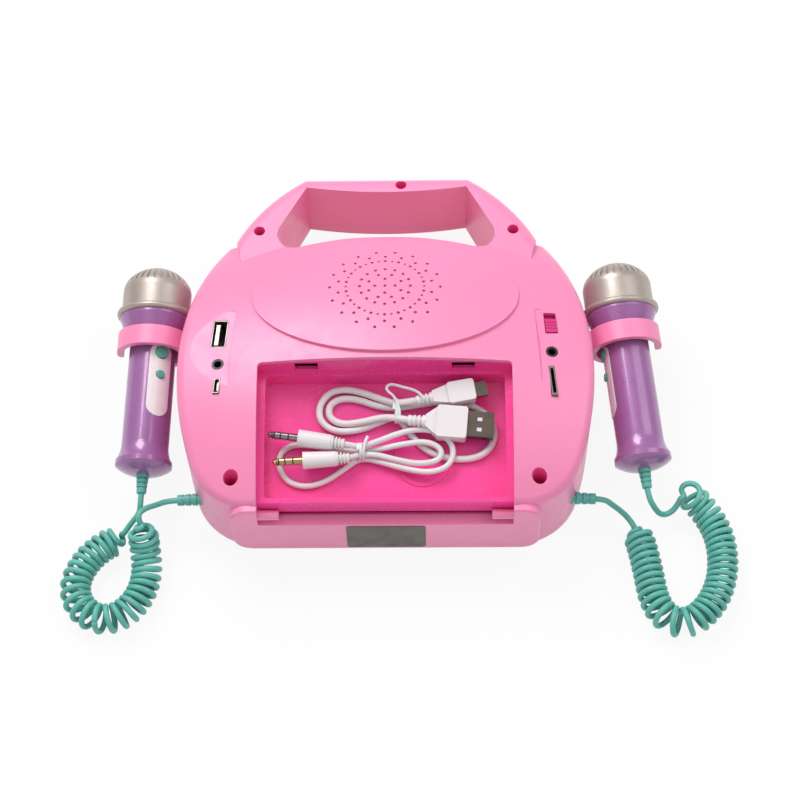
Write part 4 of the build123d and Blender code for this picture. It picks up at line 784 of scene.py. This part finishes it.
def tube_mesh(name: str, points: Sequence[Vector], frames: Sequence[tuple[Vector, Vector]], radius: float,
              sides: int, flat: float = 1.0) -> Piece:
    """Make a closed round or flattened tube along a line.

    Args:
        name: Name of the object.
        points: The line that it follows.
        frames: Two cross directions at each point.
        radius: Radius in metres along the first cross direction.
        sides: Corners of its section.
        flat: Radius along the second cross direction, as a share of the first.

    Returns:
        The tube.
    """
    verts: list[tuple[float, ...]] = []
    for point, (side, up) in zip(points, frames):
        for corner in range(sides):
            angle = 2.0 * math.pi * corner / sides
            aside = side * (math.cos(angle) * radius)
            verts.append(tuple(point + aside + up * (math.sin(angle) * radius * flat)))
    faces: list[tuple[int, ...]] = []
    for ring in range(len(points) - 1):
        for corner in range(sides):
            a = ring * sides + corner
            b = ring * sides + (corner + 1) % sides
            faces.append((a, b, b + sides, a + sides))
    last = (len(points) - 1) * sides
    faces.append(tuple(range(sides - 1, -1, -1)))
    faces.append(tuple(range(last, last + sides)))
    mesh = bpy.data.meshes.new(name)
    mesh.from_pydata(verts, [], faces)
    mesh.update()
    for polygon in mesh.polygons:
        polygon.use_smooth = len(polygon.vertices) == 4
    piece = bpy.data.objects.new(name, mesh)
    bpy.context.scene.collection.objects.link(piece)
    return piece


@dataclass
class CurlyCord:
    """Coiled microphone cord: a lead from the microphone, a coil on the floor and a lead to the housing."""

    side: str
    finishes: Finishes
    mic_lead: tuple[Point, ...]
    coil: tuple[Point, ...]
    gland_lead: tuple[Point, ...]
    split: int
    stretch_from: Point
    stretch_to: Point
    lengths: tuple[float, float]
    wire: float = 0.0027
    coil_radius: float = 0.0059
    pitch: float = 0.0034
    run_in: float = 0.007
    step: float = 0.00015
    bend_reach: float = 0.004  # how far to each side of a point its bend is read
    turn_gap: float = 1.02  # least distance of two turns inside a bend, in diameters of the wire
    least_share: float = 0.35  # least share of the pitch that a bend leaves on its inner side
    ring_gap: float = 0.0012
    sides: int = 12

    def middle_line(self) -> tuple[list[Vector], list[int]]:
        """Return the middle line and the numbers of the points where the coil starts, splits and ends."""
        route = [placed(p) for p in (*self.mic_lead, *self.coil, *self.gland_lead)]
        guide = smooth_line(f"guide_{self.side}", route)
        points = resampled(read_line(guide), self.step)
        bpy.data.objects.remove(guide)
        marks = [placed(self.coil[index]) for index in (0, self.split, -1)]
        places = [min(range(len(points)), key=lambda i: (points[i] - mark).length) for mark in marks]
        return points, places

    def swell(self, index: int, start: int, end: int) -> float:
        """Return the share of the coil's radius at a point, growing from 0 at the leads.

        Args:
            index: Number of the point.
            start: Number at which the coil starts.
            end: Number at which it ends.

        Returns:
            A share from 0 to 1.
        """
        reach = self.run_in / self.step
        share = min((index - start) / reach + 0.5, (end - index) / reach + 0.5)
        share = min(1.0, max(0.0, share))
        return share * share * (3.0 - 2.0 * share)

    def wound_line(self) -> tuple[list[Vector], int]:
        """Return the line of the wire round the middle line and the number of its splitting point."""
        points, (start, split, end) = self.middle_line()
        frames = carried_frames(points, Vector((0.0, 0.0, 1.0)))
        reach = round(self.bend_reach / self.step)
        wound, angle = [], 0.0
        for index, (point, (side, up)) in enumerate(zip(points, frames)):
            before = frames[max(0, index - reach)]
            after = frames[min(len(frames) - 1, index + reach)]
            turn = before[0].cross(before[1]).angle(after[0].cross(after[1]), 0.0)
            bend = turn / (2.0 * reach * self.step)
            swell = self.swell(index, start, end)
            inner = max(self.least_share, 1.0 - self.coil_radius * bend)
            pitch = max(self.pitch, self.turn_gap * self.wire / inner)
            angle += 2.0 * math.pi * self.step / pitch * (1.0 if swell > 0.0 else 0.0)
            wound.append(point + (side * math.cos(angle) + up * math.sin(angle)) * (self.coil_radius * swell))
        return wound, split

    def build(self) -> None:
        wound, split = self.wound_line()
        halves = (resampled(wound[:split + 1], self.ring_gap), resampled(wound[split:], self.ring_gap))
        line = halves[0] + halves[1][1:]
        frames = carried_frames(line, Vector((0.0, 0.0, 1.0)))
        cut = len(halves[0])
        nodes = (f"cord_{self.side}_mic_lead", f"cord_{self.side}_gland_lead")
        mic_half, home_half = (
            tube_mesh(f"{self.side}_cord_{name}_half", line[part], frames[part], self.wire / 2, self.sides)
            for name, part in (("mic", slice(cut)), ("home", slice(cut - 1, None))))
        for half in (mic_half, home_half):
            self.finishes.dress(half, "cord_teal")
        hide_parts(nodes[0])
        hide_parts(nodes[1], f"cord_{self.side}_coil")
        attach(home_half, "housing")
        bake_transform(mic_half)
        LOG.info("%s cord: %.3f m and %.3f m of wire", self.side, *map(line_length, halves))


@dataclass
class StoredCable:
    """White cable in a loose tied hank on the floor of the bay, with a plug at each end."""

    name: str
    finishes: Finishes
    route: tuple[Point, ...]
    diameter: float
    length: float
    hank: str
    plugs: tuple[str, str]

    def build(self) -> None:
        line = smooth_line(self.name, [on_bay_floor(*place) for place in self.route], 14)
        points = read_line(line)
        line.data.bevel_depth = self.diameter / 2
        line.data.bevel_resolution = 5
        line.data.use_fill_caps = True
        self.finishes.dress(line, "cable_white")
        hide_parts(self.hank)
        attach(line, "stored_cables")
        LOG.info("%s: %.3f m", self.name, line_length(points))


@dataclass
class TwistTie:
    """Paper-covered wire tie wound round a hank, its loose end lying over the cables."""

    name: str
    finishes: Finishes
    across: float
    section: tuple[tuple[float, float], ...]
    turns: int
    tail: tuple[Point, ...]
    gap: float = 0.0013
    width: float = 0.0014
    thickness: float = 0.0007

    def route(self) -> list[Point]:
        """Return the turns round the bundle, side by side, and the loose end."""
        count = len(self.section)
        wound = [(self.across + self.gap * index / count, *self.section[index % count])
                 for index in range(self.turns * count + 1)]
        return [*wound, *self.tail]

    def build(self) -> None:
        """Make the tie."""
        guide = smooth_line(f"{self.name}_guide", [on_bay_floor(*place) for place in self.route()])
        points = resampled(read_line(guide), 0.0004)
        bpy.data.objects.remove(guide)
        across = (on_bay_floor(0.01, 0.0, 0.0) - on_bay_floor(0.0, 0.0, 0.0)).normalized()
        frames = carried_frames(points, across)
        piece = tube_mesh(self.name, points, frames, self.width / 2, 10, self.thickness / self.width)
        self.finishes.dress(piece, "tie_white")
        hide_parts("cable_ties")
        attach(piece, "stored_cables")
        LOG.info("%s", self.name)


# ---------------------------------------------------------------- plate, studio and camera


@dataclass
class UndersidePlate:
    """Bare grey plate on the underside, standing a little proud, its corners rounded."""

    finishes: Finishes
    low: Point = (-0.018, 0.0, 0.0085)
    high: Point = (0.018, 0.0, 0.0315)
    thickness: float = 0.0003
    corner: float = 0.0015

    def build(self) -> None:
        """Model the plate from a plane."""
        bpy.ops.object.select_all(action="DESELECT")
        middle = (placed(self.low) + placed(self.high)) / 2
        bpy.ops.mesh.primitive_plane_add(size=1.0, location=middle, rotation=(math.pi / 2, 0.0, 0.0))
        plate = bpy.context.object
        plate.name = "underside_plate"
        plate.scale = (self.high[0] - self.low[0], self.high[2] - self.low[2], 1.0)
        bpy.ops.object.transform_apply(location=True, rotation=True, scale=True)
        bpy.ops.object.mode_set(mode="EDIT")
        bpy.ops.mesh.select_all(action="SELECT")
        bpy.ops.mesh.bevel(offset=self.corner, segments=5, affect="VERTICES")
        bpy.ops.mesh.select_all(action="SELECT")
        bpy.ops.mesh.extrude_region_move(TRANSFORM_OT_translate={"value": (0.0, -self.thickness, 0.0)})
        bpy.ops.mesh.select_all(action="SELECT")
        bpy.ops.mesh.normals_make_consistent(inside=False)
        bpy.ops.object.mode_set(mode="OBJECT")
        self.finishes.dress(plate, "plate_grey")
        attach(plate, "housing")
        LOG.info("plate on the underside")


@dataclass
class JointStrip:
    """Strip inside the underside, in the colour of the bay, that closes the joint below the tub."""

    finishes: Finishes
    low: Point = (-0.0573, 0.0026, 0.0318)
    high: Point = (0.0573, 0.0066, 0.0328)
    edge: float = 0.0002

    def build(self) -> None:
        """Model the strip from a cube."""
        bpy.ops.object.select_all(action="DESELECT")
        middle = (placed(self.low) + placed(self.high)) / 2
        bpy.ops.mesh.primitive_cube_add(size=1.0, location=middle)
        strip = bpy.context.object
        strip.name = "joint_strip"
        strip.scale = placed(self.high) - placed(self.low)
        bpy.ops.object.transform_apply(location=True, rotation=True, scale=True)
        bpy.ops.object.mode_set(mode="EDIT")
        bpy.ops.mesh.select_all(action="SELECT")
        bpy.ops.mesh.bevel(offset=self.edge, segments=2, affect="EDGES")
        bpy.ops.object.mode_set(mode="OBJECT")
        self.finishes.dress(strip, "bay_magenta")
        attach(strip, "housing")
        LOG.info("strip under the bay")


@dataclass
class Studio:
    """Pale floor, soft lights and the camera."""

    floor_size: float = 6.0
    floor_glow: float = 0.9  # share of plain white that the floor shows, over its own shaded colour
    floor_tone: Colour = (0.85, 0.85, 0.85, 1.0)
    sky_strength: float = 0.5
    camera_target: Point = (0.0, 0.075, 0.035)
    distance: float = 1.0243
    elevation: float = 62.35
    azimuth: float = 2.5
    roll: float = -2.6
    lens: float = 98.95
    shift: tuple[float, float] = (0.0174, -0.0308)

    def floor(self) -> None:
        """Lay the floor: white to the camera and in reflections, with the object's shadow."""
        bpy.ops.object.select_all(action="DESELECT")
        bpy.ops.mesh.primitive_plane_add(size=self.floor_size, location=(0.0, 0.0, 0.0))
        floor = bpy.context.object
        floor.name = "studio_floor"
        bench = NodeBench("studio_floor")
        matt = bench.node("ShaderNodeBsdfDiffuse")
        matt.inputs["Color"].default_value = self.floor_tone
        paper = bench.node("ShaderNodeEmission", in_strength=1.0)
        rays = bench.node("ShaderNodeLightPath")
        seen = rays.outputs["Is Camera Ray"]
        for kind in ("Is Glossy Ray", "Is Transmission Ray"):
            seen = bench.combined("ADD", seen, rays.outputs[kind], clamp=True)
        blend = bench.node("ShaderNodeMixShader")
        bench.link(bench.combined("MULTIPLY", seen, self.floor_glow), blend.inputs[0])
        bench.link(matt.outputs["BSDF"], blend.inputs[1])
        bench.link(paper.outputs["Emission"], blend.inputs[2])
        bench.link(blend.outputs["Shader"], bench.output.inputs["Surface"])
        floor.data.materials.append(bench.material)

    def world(self) -> None:
        """Light the scene with an even pale sky."""
        world = bpy.data.worlds.new("studio_sky")
        bpy.context.scene.world = world
        world.use_nodes = True
        tree = world.node_tree
        tree.nodes.clear()
        output = tree.nodes.new("ShaderNodeOutputWorld")
        sky = tree.nodes.new("ShaderNodeBackground")
        sky.inputs["Color"].default_value = (1.0, 1.0, 1.0, 1.0)
        sky.inputs["Strength"].default_value = self.sky_strength
        tree.links.new(sky.outputs["Background"], output.inputs["Surface"])

    def lamp(self, name: str, place: Point, aim: Point, size: float, watts: float) -> None:
        """Hang one soft lamp.

        Args:
            name: Name of the lamp.
            place: Where it hangs, in the frame.
            aim: The point that it faces.
            size: Side of its square in metres.
            watts: Power.
        """
        light = bpy.data.lights.new(name, "AREA")
        light.size = size
        light.energy = watts
        lamp = bpy.data.objects.new(name, light)
        lamp.location = place
        lamp.rotation_euler = (Vector(aim) - Vector(place)).to_track_quat("-Z", "Y").to_euler()
        bpy.context.scene.collection.objects.link(lamp)

    def camera(self) -> None:
        """Set the camera."""
        data = bpy.data.cameras.new("camera")
        data.lens = self.lens
        data.sensor_width = 36.0
        data.shift_x, data.shift_y = self.shift
        data.clip_end = 20.0
        data.dof.use_dof = False
        camera = bpy.data.objects.new("camera", data)
        azimuth, elevation = math.radians(self.azimuth), math.radians(self.elevation)
        back = Vector((math.sin(azimuth) * math.cos(elevation), -math.cos(azimuth) * math.cos(elevation),
                       math.sin(elevation)))
        camera.location = placed(self.camera_target) + back * self.distance
        turn = (-back).to_track_quat("-Z", "Y").to_matrix().to_4x4()
        camera.rotation_euler = (turn @ Matrix.Rotation(math.radians(self.roll), 4, "Z")).to_euler()
        bpy.context.scene.collection.objects.link(camera)
        bpy.context.scene.camera = camera

    def build(self) -> None:
        """Set the whole studio."""
        self.floor()
        self.world()
        self.lamp("key_light", (-0.45, 0.75, 1.25), (0.0, 0.0, 0.03), 0.8, 15.5)
        self.lamp("fill_light", (0.9, 0.1, 1.1), (0.0, 0.0, 0.03), 0.9, 4.5)
        self.lamp("front_light", (-0.5, -0.9, 0.9), (0.0, 0.0, 0.03), 0.9, 1.4)
        self.camera()
        bpy.context.scene.view_settings.view_transform = "Standard"
        LOG.info("studio set")


# ---------------------------------------------------------------- routes


def left_cord(finishes: Finishes) -> CurlyCord:
    """Return the left microphone's cord: its raised end crosses over the lead from the microphone."""
    return CurlyCord(
        side="left", finishes=finishes,
        mic_lead=metres((-1129, 228, 219), (-1132, 165, 212), (-1138, 136, 169), (-1182, 106, 124)),
        coil=metres(*level(73, (-1236, 48), (-1310, 15), (-1390, -65), (-1435, -175), (-1408, -285),
                           (-1315, -355), (-1205, -335), (-1125, -240), (-1099, -125)), (-1110, -20, 110),
                    (-1119, 45, 200)),
        gland_lead=metres((-1136, 86, 262), (-1106, 128, 240), (-1062, 160, 204), (-1012, 190, 184),
                          (-948, 190, 191)),
        split=5, stretch_from=(-0.1315, -0.0330, 0.0073), stretch_to=(-0.1236, 0.0040, 0.0073),
        lengths=(0.52, 0.57))


def right_cord(finishes: Finishes) -> CurlyCord:
    """Return the right microphone's cord, which lies in one open loop beside the housing."""
    return CurlyCord(
        side="right", finishes=finishes,
        mic_lead=metres((1196, 242, 219), (1204, 178, 212), (1232, 151, 166), (1258, 141, 117),
                        (1294, 151, 84), (1336, 176, 94)),
        coil=metres((1374, 234, 170), (1416, 228, 108),
                    *level(73, (1482, 162), (1532, 56), (1544, -70), (1526, -185), (1474, -295),
                           (1380, -380), (1276, -370), (1216, -275), (1200, -155), (1182, -40),
                           (1156, 70))),
        gland_lead=metres((1126, 136, 66), (1082, 162, 108), (1034, 176, 156), (1005, 186, 184),
                          (948, 186, 191)),
        split=6, stretch_from=(0.1474, -0.0280, 0.0073), stretch_to=(0.1486, 0.0120, 0.0073),
        lengths=(0.66, 0.68))


def usb_cable(finishes: Finishes) -> StoredCable:
    """Return the charging cable: two loops to the left of its tie and one wide loop to the right."""
    return StoredCable(
        name="charging_cable", finishes=finishes, diameter=0.0032, length=0.285, hank="usb_hank",
        plugs=("usb_a_plug", "micro_usb_plug"),
        route=metres((123, 378, 66), (88, 384, 62), (47, 396, 50), (-17, 398, 49), (-110, 378, 38),
                     (-198, 374, 20),
                     *level(17, (-256, 406), (-258, 466), (-206, 500), (-130, 496), (-40, 462), (47, 450),
                            (140, 466), (245, 482), (350, 476), (440, 442), (496, 368), (496, 284),
                            (440, 222), (356, 204), (270, 214), (190, 246), (120, 316), (86, 372),
                            (47, 416), (-26, 384), (-120, 346), (-225, 338), (-296, 384), (-305, 460),
                            (-262, 526), (-190, 545)), (-106, 526, 24), (-20, 490, 34), (47, 464, 50),
                     (100, 466, 66), (143, 469, 78), (162, 472, 79)))


def audio_cable(finishes: Finishes) -> StoredCable:
    """Return the audio cable: one loop to the left of its tie, under its plugs, and two to the right."""
    return StoredCable(
        name="audio_cable", finishes=finishes, diameter=0.0027, length=0.28, hank="audio_hank",
        plugs=("audio_plug_1", "audio_plug_2"),
        route=metres((-201, 265, 82), (-162, 260, 78), (-113, 254, 64), (-35, 282, 54),
                     *level(50, (60, 322), (158, 344), (258, 322), (314, 250), (292, 166), (205, 134)),
                     (95, 154, 40), (-19, 194, 28), (-112, 216, 22),
                     *level(15, (-186, 164), (-269, 104), (-361, 79), (-442, 104), (-486, 176),
                            (-476, 250), (-410, 284), (-310, 272)), (-205, 252, 18), (-112, 243, 22),
                     (-20, 254, 30), (80, 272, 46), (185, 284, 50), (256, 250, 50), (248, 192, 50),
                     (150, 176, 48), (40, 200, 46), (-40, 222, 50), (-112, 222, 52), (-146, 206, 68),
                     (-178, 196, 82)))


def twist_ties(finishes: Finishes) -> tuple[TwistTie, TwistTie]:
    """Return the ties of the two hanks; the charging cable's has a long end that curls over the plug."""
    usb = TwistTie(
        name="charging_cable_tie", finishes=finishes, across=0.0040, turns=2,
        section=metres((430, 70), (471, 67), (489, 48), (484, 21), (462, 6), (430, 5), (399, 6),
                       (377, 22), (375, 49), (392, 67)),
        tail=metres((52, 470, 74), (36, 496, 76), (14, 512, 78), (4, 530, 80), (20, 546, 82),
                    (48, 542, 84), (80, 530, 88), (112, 520, 94), (142, 506, 102), (166, 484, 110),
                    (178, 462, 106)))
    audio = TwistTie(
        name="audio_cable_tie", finishes=finishes, across=-0.0122, turns=2,
        section=metres((235, 83), (262, 81), (274, 62), (266, 28), (256, 10), (234, 6), (210, 8),
                       (198, 24), (202, 56), (214, 75)),
        tail=metres((-92, 262, 86), (-86, 282, 84), (-78, 300, 78)))
    return usb, audio


def main() -> None:
    """Build the player, its cords and the studio."""
    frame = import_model()
    finishes = Finishes()
    finishes.build()
    HousingFinish(finishes, frame["nodes"]).build()
    for trim in plug_trims():
        trim.build(frame["nodes"], finishes)
    left_cord(finishes).build()
    right_cord(finishes).build()
    usb_cable(finishes).build()
    audio_cable(finishes).build()
    for tie in twist_ties(finishes):
        tie.build()
    UndersidePlate(finishes).build()
    JointStrip(finishes).build()
    Studio().build()
    bpy.context.view_layer.update()


if __name__ == "__main__":
    main()
